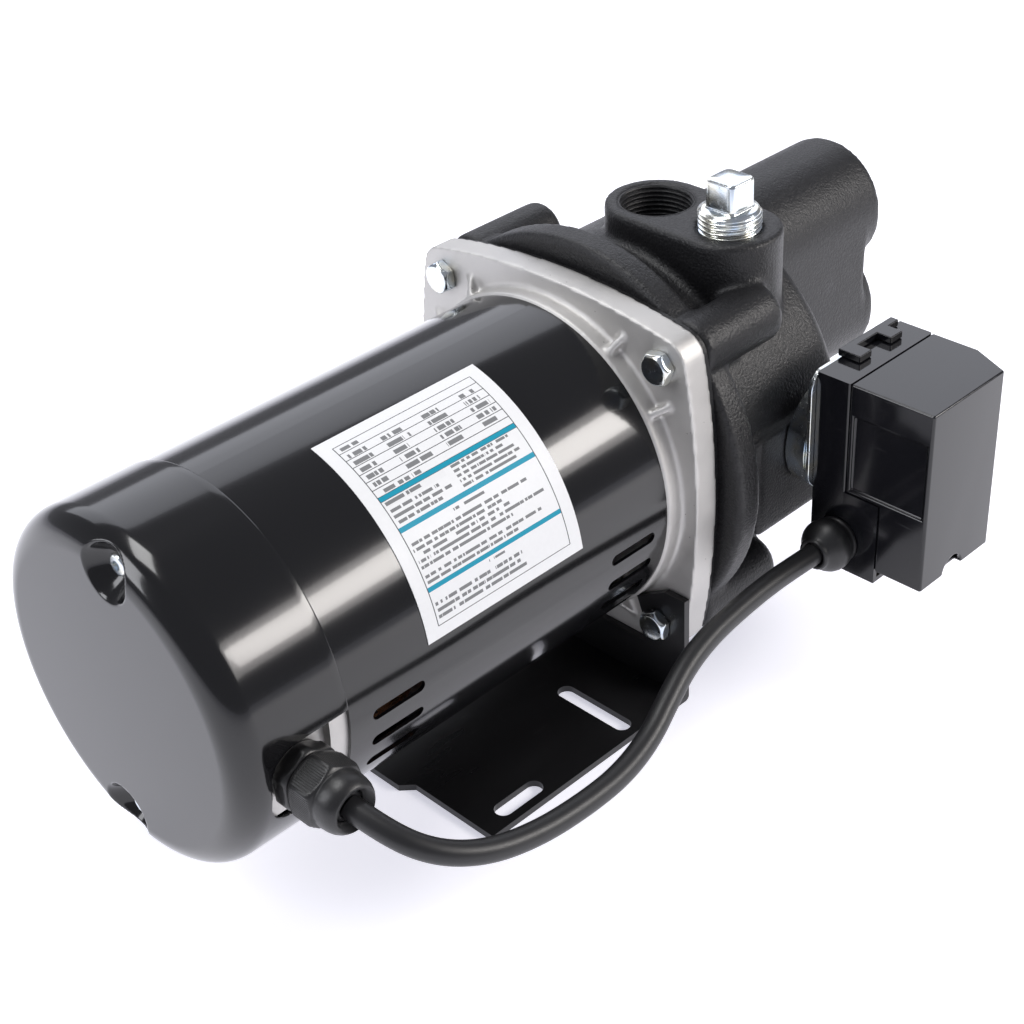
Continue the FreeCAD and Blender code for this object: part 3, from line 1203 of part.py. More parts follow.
ROUTE = [  # from the gland to the strain relief, counted from the shaft line
    (-134.0, -95.2, -11.0), (-131.0, -111.0, -16.0), (-121.5, -123.5, -23.5), (-105.5, -131.0, -30.0),
    (-84.0, -134.0, -34.5), (-60.0, -134.0, -37.0), (-38.0, -132.0, -38.5), (-18.0, -127.5, -37.0),
    (-1.0, -122.0, -31.5), (15.0, -117.0, -27.5), (34.0, -113.0, -25.8), (56.0, -110.0, -26.3),
    (77.0, -107.7, -27.5), (93.5, -106.4, -29.2), (107.5, -106.0, -30.2),
]


def gland():
    """Nylon gland on the end bell's pad: body, dome nut and rubber seal."""
    across = ("-gland_x", "-gland_z")
    face = "-gland_face"
    bore = rod("gland_waterway", "cable_radius + 1.5", face + " - 60", "100", across, "Y")
    thread = rod("gland_thread_bar", "gland_thread", face + " - 1", "pad_depth + thread_beyond", across,
                 "Y")
    flange = hexagon("gland_flange", "gland_flats", face + " - gland_length + 6 - face_gap",
                     "gland_length - 6",
                     across, "Y")
    cut("gland_body", fuse("gland_solid", thread, flange), bore)
    start = face + " - gland_length - nut_length - face_gap"
    skirt = rod("nut_skirt", "gland_flats / 2 - 0.4", face + " - gland_length + 6 - 2 * face_gap - 12",
                "12", across, "Y")
    dome = rod("nut_dome", "gland_flats / 2 - 1.2", start, "nut_length", across, "Y")
    tip = value(start)
    dome = rounded("nut_dome_soft", dome, "5", lambda edge: abs(edge.BoundBox.YMax - tip) < 1e-4)
    cut("gland_nut", fuse("nut_solid", skirt, dome),
        rod("nut_bore", "cable_radius + 1.5", face + " - 60", "100", across, "Y"))
    sleeve = rod("seal_sleeve", "cable_radius + 1.4", start, "10", across, "Y")
    cut("gland_seal", sleeve, rod("seal_sleeve_bore", "cable_radius", start + " - 1", "12", across, "Y"))


def cable_path(points):
    """Straight runs joined by tangent arcs, each as large as its two runs allow."""
    edges = []
    radii = []
    here = points[0]
    for i in range(1, len(points) - 1):
        before, after = points[i - 1] - points[i], points[i + 1] - points[i]
        turn = math.pi - before.getAngle(after)
        shorter = min(before.Length, after.Length)
        radius = 0.45 * shorter / math.tan(turn / 2)
        radii.append(radius)
        reach = radius * math.tan(turn / 2)
        before.normalize()
        after.normalize()
        first, last = points[i] + before * reach, points[i] + after * reach
        inward = (before + after).normalize()
        centre = points[i] + inward * (radius / math.cos(turn / 2))
        middle = centre - inward * radius
        edges.append(Part.LineSegment(here, first).toShape())
        edges.append(Part.Arc(first, middle, last).toShape())
        here = last
    edges.append(Part.LineSegment(here, points[-1]).toShape())
    return Part.Wire(edges), radii


def motor_cable():
    """Lead from the gland to the strain relief."""
    points = [Vector(*spot) for spot in ROUTE]
    path, radii = cable_path(points)
    start = points[1] - points[0]
    section = Part.Wire(Part.Circle(points[0], start, value("cable_radius")).toShape())
    tube = path.makePipeShell([section], True, False)
    expected = math.pi * value("cable_radius") ** 2 * path.Length
    print("cable length %.1f, least radius %.1f" % (path.Length, min(radii)))
    print("cable volume against section times length: %.4f" % (tube.Volume / expected))
    item = doc.addObject("Part::Feature", "motor_cable")
    item.Shape = tube
    return lift(item)


def strain_relief():
    """Rubber ball with a collar on the switch base's near side."""
    centre = ("-relief_y", "-relief_z")
    round_part = ball("relief_ball", "relief_radius", "relief_x", *centre)
    collar = rod("relief_collar", "relief_radius - 1.5", "relief_x", "switch_near_x - face_gap - relief_x",
                 centre)
    low, high = ("-relief_y - 20", "-relief_z - 20"), ("20 - relief_y", "20 - relief_z")
    flat = block("relief_flat", ("relief_x - 20",) + low, ("relief_entry",) + high)
    wall = block("relief_wall", ("switch_near_x - face_gap",) + low, ("switch_near_x + 20",) + high)
    return cut("strain_relief", fuse("relief_joined", round_part, collar), flat, wall)


# ---------------------------------------------------------------- the whole pump

NODES = [
    "base_plate", "motor_shell", "nameplate_label", "rear_cover", "cover_screws", "cover_posts",
    "rear_end_bracket", "rear_bearing_outer_ring", "rear_bearing_inner_ring", "bearing_balls",
    "front_bearing_outer_ring", "front_bearing_inner_ring", "wave_washer",
    "motor_shaft", "stator_core", "stator_windings", "rotor_core", "rotor_cage", "cooling_fan",
    "through_bolts", "governor_hub", "governor_collar", "governor_weight_high", "governor_weight_low",
    "start_switch_plate", "start_contact_arm", "start_capacitor", "terminal_board", "thermal_protector",
    "front_end_bracket", "casing_bolts", "seal_plate", "seal_seat", "seal_head", "seal_spring",
    "water_slinger", "pump_casing", "casing_seal", "impeller", "diffuser", "venturi_tube", "jet_nozzle",
    "ejector_plug", "priming_plug", "drain_plug", "switch_nipple", "switch_housing", "switch_back_plate",
    "switch_base", "switch_cover", "switch_latch", "switch_lever", "switch_springs", "switch_hardware",
    "contact_block", "gland_body", "gland_nut", "gland_seal", "motor_cable", "strain_relief",
]


def build():
    base_plate()
    motor_shell()
    nameplate_label()
    rear_cover()
    cover_screws()
    cover_posts()
    rear_end_bracket()
    bearings()
    wave_washer()
    motor_shaft()
    stator_core()
    stator_windings()
    rotor()
    cooling_fan()
    through_bolts()
    governor()
    start_switch()
    cover_electrics()
    front_end_bracket()
    casing_bolts()
    seal_plate()
    shaft_seal()
    pump_casing()
    casing_seal()
    impeller()
    diffuser()
    ejector_parts()
    priming_plug()
    drain_plug()
    switch_mounting()
    switch_shells()
    switch_latch()
    switch_works()
    gland()
    motor_cable()
    strain_relief()


def export():
    """Check every object, then write one file for each node."""
    doc.recompute()
    for item in doc.Objects:
        if "Invalid" in item.State or "Error" in item.State:
            raise RuntimeError("%s did not build: %s" % (item.Name, item.State))
    nodes = {name: doc.getObject(name) for name in NODES}
    for name, item in nodes.items():
        if item is None or item.Shape.isNull() or not item.Shape.isValid():
            raise RuntimeError("node %s has no valid shape" % name)
    os.makedirs("parts", exist_ok=True)
    for name, item in nodes.items():
        item.Label = name
        item.Shape.exportStep("parts/%s.step" % name)


build()
export()
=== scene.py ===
"""Finishes, fine shapes and studio for a shallow well jet pump, laid out as an add-on and run as a script.

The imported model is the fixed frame: it is loaded first, and every piece made here is placed from its
boxes and rides on one of its bodies. Lengths are in metres.
"""

import json
import math

import bmesh
import bpy
import numpy as np
from bpy.props import FloatProperty, FloatVectorProperty, IntProperty, PointerProperty
from mathutils import Matrix, Vector

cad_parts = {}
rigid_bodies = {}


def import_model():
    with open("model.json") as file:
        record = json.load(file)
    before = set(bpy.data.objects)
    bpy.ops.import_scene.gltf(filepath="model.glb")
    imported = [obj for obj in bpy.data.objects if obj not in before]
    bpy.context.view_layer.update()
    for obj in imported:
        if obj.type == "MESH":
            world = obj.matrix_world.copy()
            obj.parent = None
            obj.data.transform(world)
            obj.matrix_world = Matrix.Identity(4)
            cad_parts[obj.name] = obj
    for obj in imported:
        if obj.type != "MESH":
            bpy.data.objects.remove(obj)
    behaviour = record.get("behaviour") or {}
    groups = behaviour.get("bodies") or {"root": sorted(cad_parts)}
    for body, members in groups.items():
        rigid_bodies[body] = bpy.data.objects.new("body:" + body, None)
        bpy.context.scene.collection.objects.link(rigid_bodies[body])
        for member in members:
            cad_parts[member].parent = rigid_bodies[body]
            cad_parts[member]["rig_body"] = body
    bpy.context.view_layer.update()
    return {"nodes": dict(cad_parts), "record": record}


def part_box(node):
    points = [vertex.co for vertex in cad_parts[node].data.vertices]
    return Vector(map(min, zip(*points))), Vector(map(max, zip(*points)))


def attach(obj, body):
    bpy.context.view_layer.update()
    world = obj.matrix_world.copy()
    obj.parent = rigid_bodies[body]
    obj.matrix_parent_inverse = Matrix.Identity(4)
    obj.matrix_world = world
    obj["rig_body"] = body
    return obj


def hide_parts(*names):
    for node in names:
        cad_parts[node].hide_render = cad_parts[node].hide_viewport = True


bl_info = {
    "name": "Jet Pump Finisher",
    "version": (1, 0, 0),
    "blender": (4, 5, 0),
    "location": "View3D > Sidebar > Jet Pump",
    "description": "Builds the looks of a shallow well jet pump round its packed model",
    "category": "Object",
}

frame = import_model()

MM = 0.001
TURN = 2 * math.pi

# Places and sizes that the model's boxes don't give.
SHAFT_HEIGHT = 97 * MM
PORT_X = 131.75 * MM
PLUG_Y = -39.5 * MM
PORT_RIM = SHAFT_HEIGHT + 90.4 * MM
SUCTION_Z = SHAFT_HEIGHT + 48.1 * MM
OUTLET_BORE = 15.9 * MM
OUTLET_DEPTH = 26 * MM
PRIMING_BORE = 14.4 * MM
PRIMING_DEPTH = 16 * MM
SUCTION_BORE = 20.2 * MM
SUCTION_DEPTH = 27 * MM
CABLE_RADIUS = 4.6 * MM
RELIEF_YZ = (-106 * MM, SHAFT_HEIGHT - 30.5 * MM)
COVER_RADIUS = 72.5 * MM
COVER_WALL = 1.5 * MM
COVER_BEND = 12 * MM
RECESS_Y = 9.5 * MM
RECESS_Z = 60 * MM
RECESS_FLOOR = 4.6 * MM
NOTCH_TOP = 5 * MM
NOTCH_BOTTOM = -30 * MM
NOTCH_DEPTH = 36.6 * MM
LABEL_START = math.radians(12.4)
LABEL_SPAN = math.radians(69.8)
GLAND_X = -134 * MM
GLAND_FACE = -66 * MM
GLAND_Z = SHAFT_HEIGHT - 11 * MM
GLAND_FLATS = 23.6 * MM
RANGE_SPRING_X = 145 * MM
RANGE_SPRING_RADIUS = 8.1 * MM
SMALL_SPRING_X = 163 * MM
SMALL_SPRING_RADIUS = 3.7 * MM
SPRING_Z = SHAFT_HEIGHT + 22 * MM
PLUG_THREAD = 20 * MM
PLUG_RADIUS = 13.2 * MM
PLUG_FLATS = 15 * MM
BOLT_OFFSET = 61.4 * MM
BOLT_FLATS = 13 * MM
BOLT_SEAT_HIGH = 64.4 * MM
BOLT_SEAT_LOW = 61.4 * MM
FLOOR_HALF = 12.0

CAMERA_PLACE = (-0.41464, -0.48574, 0.51911)
CAMERA_ANGLES = (-42.991, 33.669, -3.456)
CAMERA_LENS = 66.2

# What the lights turn to, and for each soft box its place from there, width, height, watts and colour.
AIM = (0.05, 0.0, 0.10)
SOFT_BOXES = {
    "key_box": ((0.80, -1.18, 0.74), 0.80, 0.34, 11.0, (1.0, 0.96, 0.93)),
    "key_halo": ((0.82, -1.22, 0.76), 1.15, 0.60, 8.0, (1.0, 0.97, 0.95)),
    "back_box": ((0.85, 1.25, 1.02), 2.8, 1.1, 15.0, (0.90, 0.92, 1.0)),
    "top_box": ((-0.15, 0.35, 1.5), 0.9, 0.5, 11.0, (1.0, 1.0, 1.0)),
    "rear_box": ((-1.25, 0.55, 0.8), 0.5, 0.9, 9.0, (0.95, 0.96, 1.0)),
}

# The cable's points from the gland to the strain relief, counted from the shaft line, in millimetres.
ROUTE = [
    (-134.0, -95.2, -11.0), (-131.0, -111.0, -16.0), (-121.5, -123.5, -23.5), (-105.5, -131.0, -30.0),
    (-84.0, -134.0, -34.5), (-60.0, -134.0, -37.0), (-38.0, -132.0, -38.5), (-18.0, -127.5, -37.0),
    (-1.0, -122.0, -31.5), (15.0, -117.0, -27.5), (34.0, -113.0, -25.8), (56.0, -110.0, -26.3),
    (77.0, -107.7, -27.5), (93.5, -106.4, -29.2), (107.5, -106.0, -30.2),
]
FINISH = "%s_finish"


# ---------------------------------------------------------------- settings

def length(name, description, default):
    """A size setting in metres."""
    return FloatProperty(name=name, description=description, default=default, min=0.0, precision=5,
                         unit="LENGTH", subtype="DISTANCE")


def tint(name, description, default):
    """A colour setting."""
    return FloatVectorProperty(name=name, description=description, default=default, min=0.0, max=1.0,
                               size=3, subtype="COLOR")


class JETPUMP_PG_sizes(bpy.types.PropertyGroup):
    """Sizes of the fine shapes."""

    casing_grain: length("Casing grid", "Cell size of the rounded casing surface", 0.00165)
    bracket_grain: length("Bracket grid", "Cell size of the rounded bracket surface", 0.00095)
    moulding_edge: length("Moulding edge", "Edge radius of the moulded switch parts", 0.0009)
    thread_pitch: length("Thread pitch", "Distance between pipe thread crests", 0.0021)
    thread_depth: length("Thread depth", "Height of a pipe thread", 0.0011)
    nut_ridges: IntProperty(name="Nut ridges", description="Grip ridges round the gland nut", default=84,
                            min=12)
    spring_turns: FloatProperty(name="Spring turns", description="Turns of the range spring", default=9.0,
                                min=2.0)
    spring_wire: length("Spring wire", "Wire radius of the range spring", 0.0009)
    scoop_radius: length("Recess radius", "Radius of a screw recess at the face of the rear cover", 0.0122)
    scoop_depth: length("Recess depth", "Depth of a screw recess in the rear cover", 0.009)


class JETPUMP_PG_colours(bpy.types.PropertyGroup):
    """Colours of the finishes."""

    enamel: tint("Enamel", "Gloss paint of the motor", (0.0045, 0.0045, 0.0052))
    casting: tint("Casting", "Satin paint of the cast iron", (0.0075, 0.0075, 0.0085))
    plate: tint("Plate", "Paint of the foot plate", (0.0100, 0.0100, 0.0110))
    aluminium: tint("Aluminium", "Bare cast bracket", (0.60, 0.59, 0.575))
    zinc: tint("Zinc", "Bright plated fasteners", (0.74, 0.77, 0.79))
    moulding: tint("Moulding", "Gloss moulded switch", (0.006, 0.0062, 0.0078))
    rubber: tint("Rubber", "Cable and strain relief", (0.0085, 0.0085, 0.0094))
    nylon: tint("Nylon", "Cable gland", (0.0100, 0.0100, 0.0106))
    label: tint("Label", "Label stock", (0.74, 0.75, 0.76))
    band: tint("Band", "Printed bands", (0.0, 0.26, 0.38))
    ink: tint("Ink", "Printed rules and lines", (0.06, 0.065, 0.07))


def sizes():
    """The size settings of this scene."""
    return bpy.context.scene.jetpump_sizes


def colours():
    """The colour settings of this scene."""
    return bpy.context.scene.jetpump_colours


# ---------------------------------------------------------------- shader expressions

class Link:
    """A socket that can stand in a sum: each operator adds one Math node."""

    def __init__(self, finish, socket):
        self.finish = finish
        self.socket = socket

    def maths(self, operation, *values, clamp=False):
        return self.finish.node("ShaderNodeMath", {"operation": operation, "use_clamp": clamp}, values)

    def __add__(self, other):
        return self.maths("ADD", self, other)

    __radd__ = __add__

    def __sub__(self, other):
        return self.maths("SUBTRACT", self, other)

    def __rsub__(self, other):
        return self.maths("SUBTRACT", other, self)

    def __mul__(self, other):
        return self.maths("MULTIPLY", self, other)

    __rmul__ = __mul__

    def __truediv__(self, other):
        return self.maths("DIVIDE", self, other)

    def __rtruediv__(self, other):
        return self.maths("DIVIDE", other, self)

    def __mod__(self, other):
        return self.maths("FLOORED_MODULO", self, other)

    def __gt__(self, other):
        return self.maths("GREATER_THAN", self, other)

    def __lt__(self, other):
        return self.maths("LESS_THAN", self, other)

    def within(self, low, high):
        """One between two values, nought outside them."""
        return (self > low) * (self < high)

    def spread(self, low, high, out_low=0.0, out_high=1.0):
        """This value carried from one range to another and held inside it."""
        return self.finish.node("ShaderNodeMapRange", {"clamp": True}, (self, low, high, out_low, out_high))


class Finish:
    """One material: a Principled shader and the nodes that feed it."""

    def __init__(self, name, colour, roughness, metallic=0.0, coat=0.0, specular=0.5):
        self.material = bpy.data.materials.new(name)
        self.material.use_nodes = True
        self.tree = self.material.node_tree
        self.tree.nodes.clear()
        self.shader = self.tree.nodes.new("ShaderNodeBsdfPrincipled")
        output = self.tree.nodes.new("ShaderNodeOutputMaterial")
        self.tree.links.new(self.shader.outputs[0], output.inputs[0])
        self.material.diffuse_color = (*colour, 1.0)
        self.set("Base Color", (*colour, 1.0))
        self.set("Roughness", roughness)
        self.set("Metallic", metallic)
        self.set("Coat Weight", coat)
        self.set("Specular IOR Level", specular)
        self.place = self.node("ShaderNodeTexCoord", {}, (), output=3)

    def put(self, socket, value):
        """Give a socket a link or a plain value."""
        if isinstance(value, Link):
            self.tree.links.new(value.socket, socket)
        else:
            socket.default_value = value

    def set(self, name, value):
        self.put(self.shader.inputs[name], value)

    def node(self, kind, settings, values, output=0):
        """Any node: its settings first, then its sockets by order or by name."""
        made = self.tree.nodes.new(kind)
        for key, value in settings.items():
            if key == "stops":
                ramp = made.color_ramp.elements
                while len(ramp) < len(value):
                    ramp.new(0.5)
                for element, (position, colour) in zip(ramp, value):
                    element.position = position
                    element.color = (*colour, 1.0)
            else:
                setattr(made, key, value)
        pairs = values.items() if isinstance(values, dict) else enumerate(values)
        for key, value in pairs:
            self.put(made.inputs[key], value)
        return Link(self, made.outputs[output])

    def noise(self, scale, detail=2.0, rough=0.5, distort=0.0, place=None):
        """Cloudy value between nought and one; scale is in cells per metre."""
        return self.node("ShaderNodeTexNoise", {"noise_dimensions": "3D"},
                         {"Vector": place or self.place, "Scale": scale, "Detail": detail, "Roughness": rough,
                          "Distortion": distort})

    def specks(self, scale, width):
        """Small round spots, one in each cell."""
        cells = self.node("ShaderNodeTexVoronoi", {"feature": "F1"}, {"Vector": self.place, "Scale": scale})
        return cells < width

    def stretched(self, x, y, z):
        """The place scaled along each axis, for brushed or layered patterns."""
        return self.node("ShaderNodeMapping", {}, {"Vector": self.place, "Scale": (x, y, z)})

    def blend(self, share, first, second):
        """One colour over another by a share."""
        return self.node("ShaderNodeMix", {"data_type": "RGBA"},
                         {0: share, 6: self.colour(first), 7: self.colour(second)}, output=2)

    def colour(self, value):
        return value if isinstance(value, Link) else (*value, 1.0)

    def relief(self, height, distance, strength=1.0, below=None):
        """Bump from a height between nought and one; distance is its depth in metres."""
        values = {"Height": height, "Distance": distance, "Strength": strength}
        if below is not None:
            values["Normal"] = below
        return self.node("ShaderNodeBump", {}, values)

    def axes(self):
        """The three coordinates of the place."""
        split = self.node("ShaderNodeSeparateXYZ", {}, (self.place,))
        return [Link(self, split.socket.node.outputs[i]) for i in range(3)]


def shade(colour, factor):
    """A colour made lighter or darker by a factor."""
    return tuple(min(1.0, c * factor) for c in colour)


# ---------------------------------------------------------------- finishes

def enamel_finish(name, colour):
    """Baked gloss enamel: faint orange peel, a little dust and slow changes of gloss."""
    f = Finish(name, colour, 0.13, coat=0.2, specular=0.46)
    cloud = f.noise(9.0, 3.0)
    dust = f.specks(420.0, 0.035) * (f.noise(35.0) > 0.56)
    paint = f.blend(cloud, shade(colour, 0.75), shade(colour, 1.3))
    f.set("Base Color", f.blend(dust * 0.10, paint, (0.35, 0.34, 0.33)))
    f.set("Roughness", cloud.spread(0.3, 0.7, 0.115, 0.165) + dust * 0.25)
    peel = f.relief(f.noise(420.0, 1.5), 0.00005, 0.10)
    f.set("Normal", f.relief(f.noise(38.0, 1.0), 0.0010, 0.018, peel))
    return f


def casting_finish(name, colour):
    """Satin paint over sand-cast iron: pebbled grain, soft hollows, rubbed high spots."""
    f = Finish(name, colour, 0.42, specular=0.42)
    grain = f.noise(900.0, 3.0, 0.55)
    swell = f.noise(120.0, 2.0)
    rub = f.noise(55.0, 4.0, 0.6).spread(0.60, 0.78)
    paint = f.blend(grain, shade(colour, 0.7), shade(colour, 1.45))
    f.set("Base Color", f.blend(rub * 0.35, paint, shade(colour, 3.0)))
    f.set("Roughness", grain.spread(0.25, 0.75, 0.33, 0.50) - rub * 0.05)
    fine = f.relief(grain, 0.00055, 0.7)
    f.set("Normal", f.relief(swell, 0.0014, 0.10, fine))
    return f


def plate_finish(name, colour):
    """Semi-gloss paint on sheet steel with faint rolling marks and light scuffs."""
    f = Finish(name, colour, 0.2, specular=0.5)
    streak = f.noise(60.0, 3.0, place=f.stretched(0.2, 1.0, 1.0))
    scuff = f.noise(900.0, 2.0, place=f.stretched(0.06, 1.0, 1.0)).spread(0.66, 0.76) * (f.noise(22.0) > 0.55)
    paint = f.blend(streak, shade(colour, 0.8), shade(colour, 1.35))
    f.set("Base Color", f.blend(scuff * 0.25, paint, (0.05, 0.05, 0.05)))
    f.set("Roughness", streak.spread(0.3, 0.7, 0.26, 0.36) + scuff * 0.2)
    f.set("Normal", f.relief(f.noise(500.0, 2.0), 0.00004, 0.2))
    return f


def aluminium_finish(name, colour):
    """As-cast aluminium: fine sandy skin, dull clouds and a few dark pits."""
    f = Finish(name, colour, 0.5, metallic=1.0)
    cloud = f.noise(42.0, 4.0, 0.6)
    grain = f.noise(2300.0, 2.0, 0.6)
    pits = f.specks(240.0, 0.07) * (f.noise(60.0) > 0.58)
    base = f.blend(cloud, shade(colour, 0.80), shade(colour, 1.18))
    sandy = f.blend(grain * 0.35, base, shade(colour, 0.75))
    f.set("Base Color", f.blend(pits * 0.6, sandy, shade(colour, 0.35)))
    f.set("Roughness", cloud.spread(0.3, 0.7, 0.50, 0.64) + pits * 0.2)
    f.set("Metallic", 1 - grain.spread(0.55, 0.8) * 0.25)
    f.set("Normal", f.relief(pits, -0.0002, 0.5, f.relief(grain, 0.00010, 0.45)))
    return f


def zinc_finish(name, colour):
    """Bright zinc plate with a faint blue and yellow cast and small dull blooms."""
    f = Finish(name, colour, 0.2, metallic=1.0)
    cast = f.noise(130.0, 2.0, distort=0.6)
    bloom = f.noise(420.0, 3.0, 0.65).spread(0.52, 0.75)
    tone = f.blend(cast.spread(0.35, 0.65), (colour[0] * 0.90, colour[1] * 0.97, colour[2] * 1.05),
                   (colour[0] * 1.05, colour[1] * 1.0, colour[2] * 0.86))
    f.set("Base Color", f.blend(bloom * 0.5, tone, shade(colour, 0.62)))
    f.set("Roughness", bloom.spread(0.0, 1.0, 0.16, 0.34))
    f.set("Normal", f.relief(f.noise(1700.0, 2.0), 0.00003, 0.35))
    return f


def moulding_finish(name, colour):
    """Gloss moulded plastic: flow shading, hairline scratches and faint sink."""
    f = Finish(name, colour, 0.12, specular=0.5)
    flow = f.noise(26.0, 2.0)
    hair = f.noise(1500.0, 1.0, place=f.stretched(1.0, 0.03, 0.25)).spread(0.70, 0.76)
    f.set("Base Color", f.blend(flow, shade(colour, 0.85), shade(colour, 1.25)))
    f.set("Roughness", flow.spread(0.3, 0.7, 0.07, 0.13) + hair * 0.12)
    f.set("Normal", f.relief(flow, 0.0004, 0.05, f.relief(f.noise(700.0), 0.00002, 0.1)))
    return f


def satin_finish(name, colour, low, high, scale, depth):
    """Plain matt or satin plastic, rubber or board: small grain over slow mottling."""
    f = Finish(name, colour, (low + high) / 2)
    grain = f.noise(scale, 3.0, 0.6)
    mottle = f.noise(scale / 18, 2.0)
    f.set("Base Color", f.blend(mottle * 0.6 + grain * 0.4, shade(colour, 0.75), shade(colour, 1.3)))
    f.set("Roughness", grain.spread(0.25, 0.75, low, high))
    f.set("Normal", f.relief(grain, depth, 0.4))
    return f


def steel_finish(name, colour, low=0.16, high=0.30):
    """Ground steel with marks running round the part and light oil staining."""
    f = Finish(name, colour, low, metallic=1.0)
    lines = f.noise(2600.0, 2.0, place=f.stretched(1.0, 0.05, 0.05))
    stain = f.noise(70.0, 3.0).spread(0.45, 0.75)
    ground = f.blend(lines, shade(colour, 0.85), shade(colour, 1.1))
    f.set("Base Color", f.blend(stain * 0.3, ground, (0.30, 0.25, 0.19)))
    f.set("Roughness", lines.spread(0.3, 0.7, low, high) + stain * 0.08)
    f.set("Normal", f.relief(lines, 0.00002, 0.3))
    return f


def lamination_finish(name, colour):
    """Stacked electrical steel: half-millimetre sheets across the shaft, with varnish."""
    f = Finish(name, colour, 0.45, metallic=0.9)
    x, _, _ = f.axes()
    edge = (x % (0.5 * MM)) < (0.12 * MM)
    varnish = f.noise(90.0, 3.0).spread(0.4, 0.7)
    f.set("Base Color", f.blend(varnish * 0.4, f.blend(edge, colour, shade(colour, 0.35)), (0.20, 0.10, 0.04)))
    f.set("Roughness", varnish.spread(0.0, 1.0, 0.5, 0.3))
    f.set("Normal", f.relief(1 - edge, 0.00008, 0.6))
    return f


def winding_finish(name, colour):
    """Enamelled wire laid round the bundle, with painted shade in the gaps between strands, and varnish."""
    f = Finish(name, colour, 0.28, metallic=0.85, coat=0.4)
    x, _, _ = f.axes()
    strand = (x + f.noise(140.0, 2.0) * (2.4 * MM)) % (0.9 * MM)
    gap = strand < (0.22 * MM)
    wire = f.blend(f.noise(60.0), shade(colour, 0.7), shade(colour, 1.15))
    # Painted shade: the gaps between strands are darkened to 0.12 of the wire colour.
    f.set("Base Color", f.blend(gap, wire, shade(colour, 0.12)))
    f.set("Roughness", f.noise(300.0).spread(0.3, 0.7, 0.22, 0.4))
    f.set("Normal", f.relief(1 - gap, 0.0003, 0.7))
    return f


def label_finish(name):
    """Printed label: a thin frame, ruled rows, three bands and grey bars in place of words.

    The share along the shaft is (x - rear) / length, and the share down the label is the turn from the
    top line, worked out with an arctangent of the two coordinates across the shaft.
    """
    stock, band, ink = colours().label, colours().band, colours().ink
    f = Finish(name, stock, 0.5, specular=0.3)
    low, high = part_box("nameplate_label")
    x, y, z = f.axes()
    across = (x - low.x) / (high.x - low.x)
    turn = f.node("ShaderNodeMath", {"operation": "ARCTAN2"}, (y * -1, z - SHAFT_HEIGHT))
    down = (turn - LABEL_START) / LABEL_SPAN

    def rule(value, at, half):
        return value.within(at - half, at + half)

    def bars(top, bottom, left, right, rows, seed, ragged=0.35, fill=0.52):
        """Rows of short grey bars with gaps between them, ending unevenly."""
        height = (bottom - top) / rows
        line = (down - top) / height
        number = line.maths("FLOOR", line)
        body = (line - number).within((1 - fill) / 2, (1 + fill) / 2)
        hold = f.node("ShaderNodeCombineXYZ", {}, (across * 46 + seed, number * 7.3 + seed, 0.5))
        words = f.node("ShaderNodeTexNoise", {"noise_dimensions": "2D"},
                       {"Vector": hold, "Scale": 1.0, "Detail": 1.0, "Roughness": 0.5})
        pick = f.node("ShaderNodeTexWhiteNoise", {"noise_dimensions": "1D"}, {"W": number + seed})
        end = right - pick * (ragged * (right - left))
        inside = down.within(top, bottom) * (across > left) * (across < end)
        return body * (words > 0.40) * inside

    frame_x, frame_y = (0.075, 0.925), (0.055, 0.945)
    inside = across.within(*frame_x) * down.within(*frame_y)
    marks = rule(across, frame_x[0], 0.0025) * down.within(*frame_y)
    marks = marks.maths("MAXIMUM", marks, rule(across, frame_x[1], 0.0025) * down.within(*frame_y))
    for at in (frame_y[0], 0.098, 0.141, 0.184, 0.227, 0.270, 0.313, frame_y[1]):
        marks = marks.maths("MAXIMUM", marks, rule(down, at, 0.0018) * across.within(*frame_x))
    # Each block of bars: top, bottom, left, right, rows and seed.
    texts = [(0.062, 0.098, 0.10, 0.24, 1, 3.1), (0.105, 0.313, 0.10, 0.22, 5, 7.7),
             (0.105, 0.313, 0.30, 0.46, 5, 1.9), (0.105, 0.313, 0.55, 0.68, 5, 5.2),
             (0.105, 0.313, 0.78, 0.90, 5, 9.4), (0.318, 0.352, 0.12, 0.36, 1, 2.2),
             (0.372, 0.404, 0.09, 0.36, 1, 6.6), (0.410, 0.492, 0.09, 0.44, 3, 4.4),
             (0.372, 0.492, 0.49, 0.905, 5, 8.3), (0.532, 0.556, 0.38, 0.60, 1, 0.7),
             (0.572, 0.700, 0.09, 0.90, 5, 2.9), (0.716, 0.766, 0.09, 0.89, 2, 5.8),
             (0.800, 0.820, 0.44, 0.56, 1, 1.3), (0.838, 0.925, 0.09, 0.88, 3, 3.6)]
    for top, bottom, left, right, rows, seed in texts:
        marks = marks.maths("MAXIMUM", marks, bars(top, bottom, left, right, rows, seed) * 0.82)
    teal = (rule(down, 0.361, 0.0105) + rule(down, 0.511, 0.0115) + rule(down, 0.783, 0.0105)) * inside
    paper = f.blend(f.noise(600.0, 2.0), shade(stock, 0.965), shade(stock, 1.02))
    grey = across.within(frame_x[0], 0.45) * down.within(0.372, 0.405)
    paper = f.blend(grey * 0.07, paper, (0.4, 0.4, 0.4))
    banded = f.blend(teal, paper, band)
    edge = rule(down, 0.3725, 0.0012) + rule(down, 0.3495, 0.0012)
    lines = marks + edge * inside
    f.set("Base Color", f.blend(lines.maths("MINIMUM", lines, 1.0), banded, ink))
    f.set("Roughness", f.noise(160.0).spread(0.3, 0.7, 0.46, 0.54) + marks * 0.1)
    f.set("Normal", f.relief(f.noise(240.0, 2.0), 0.00004, 0.15))
    return f


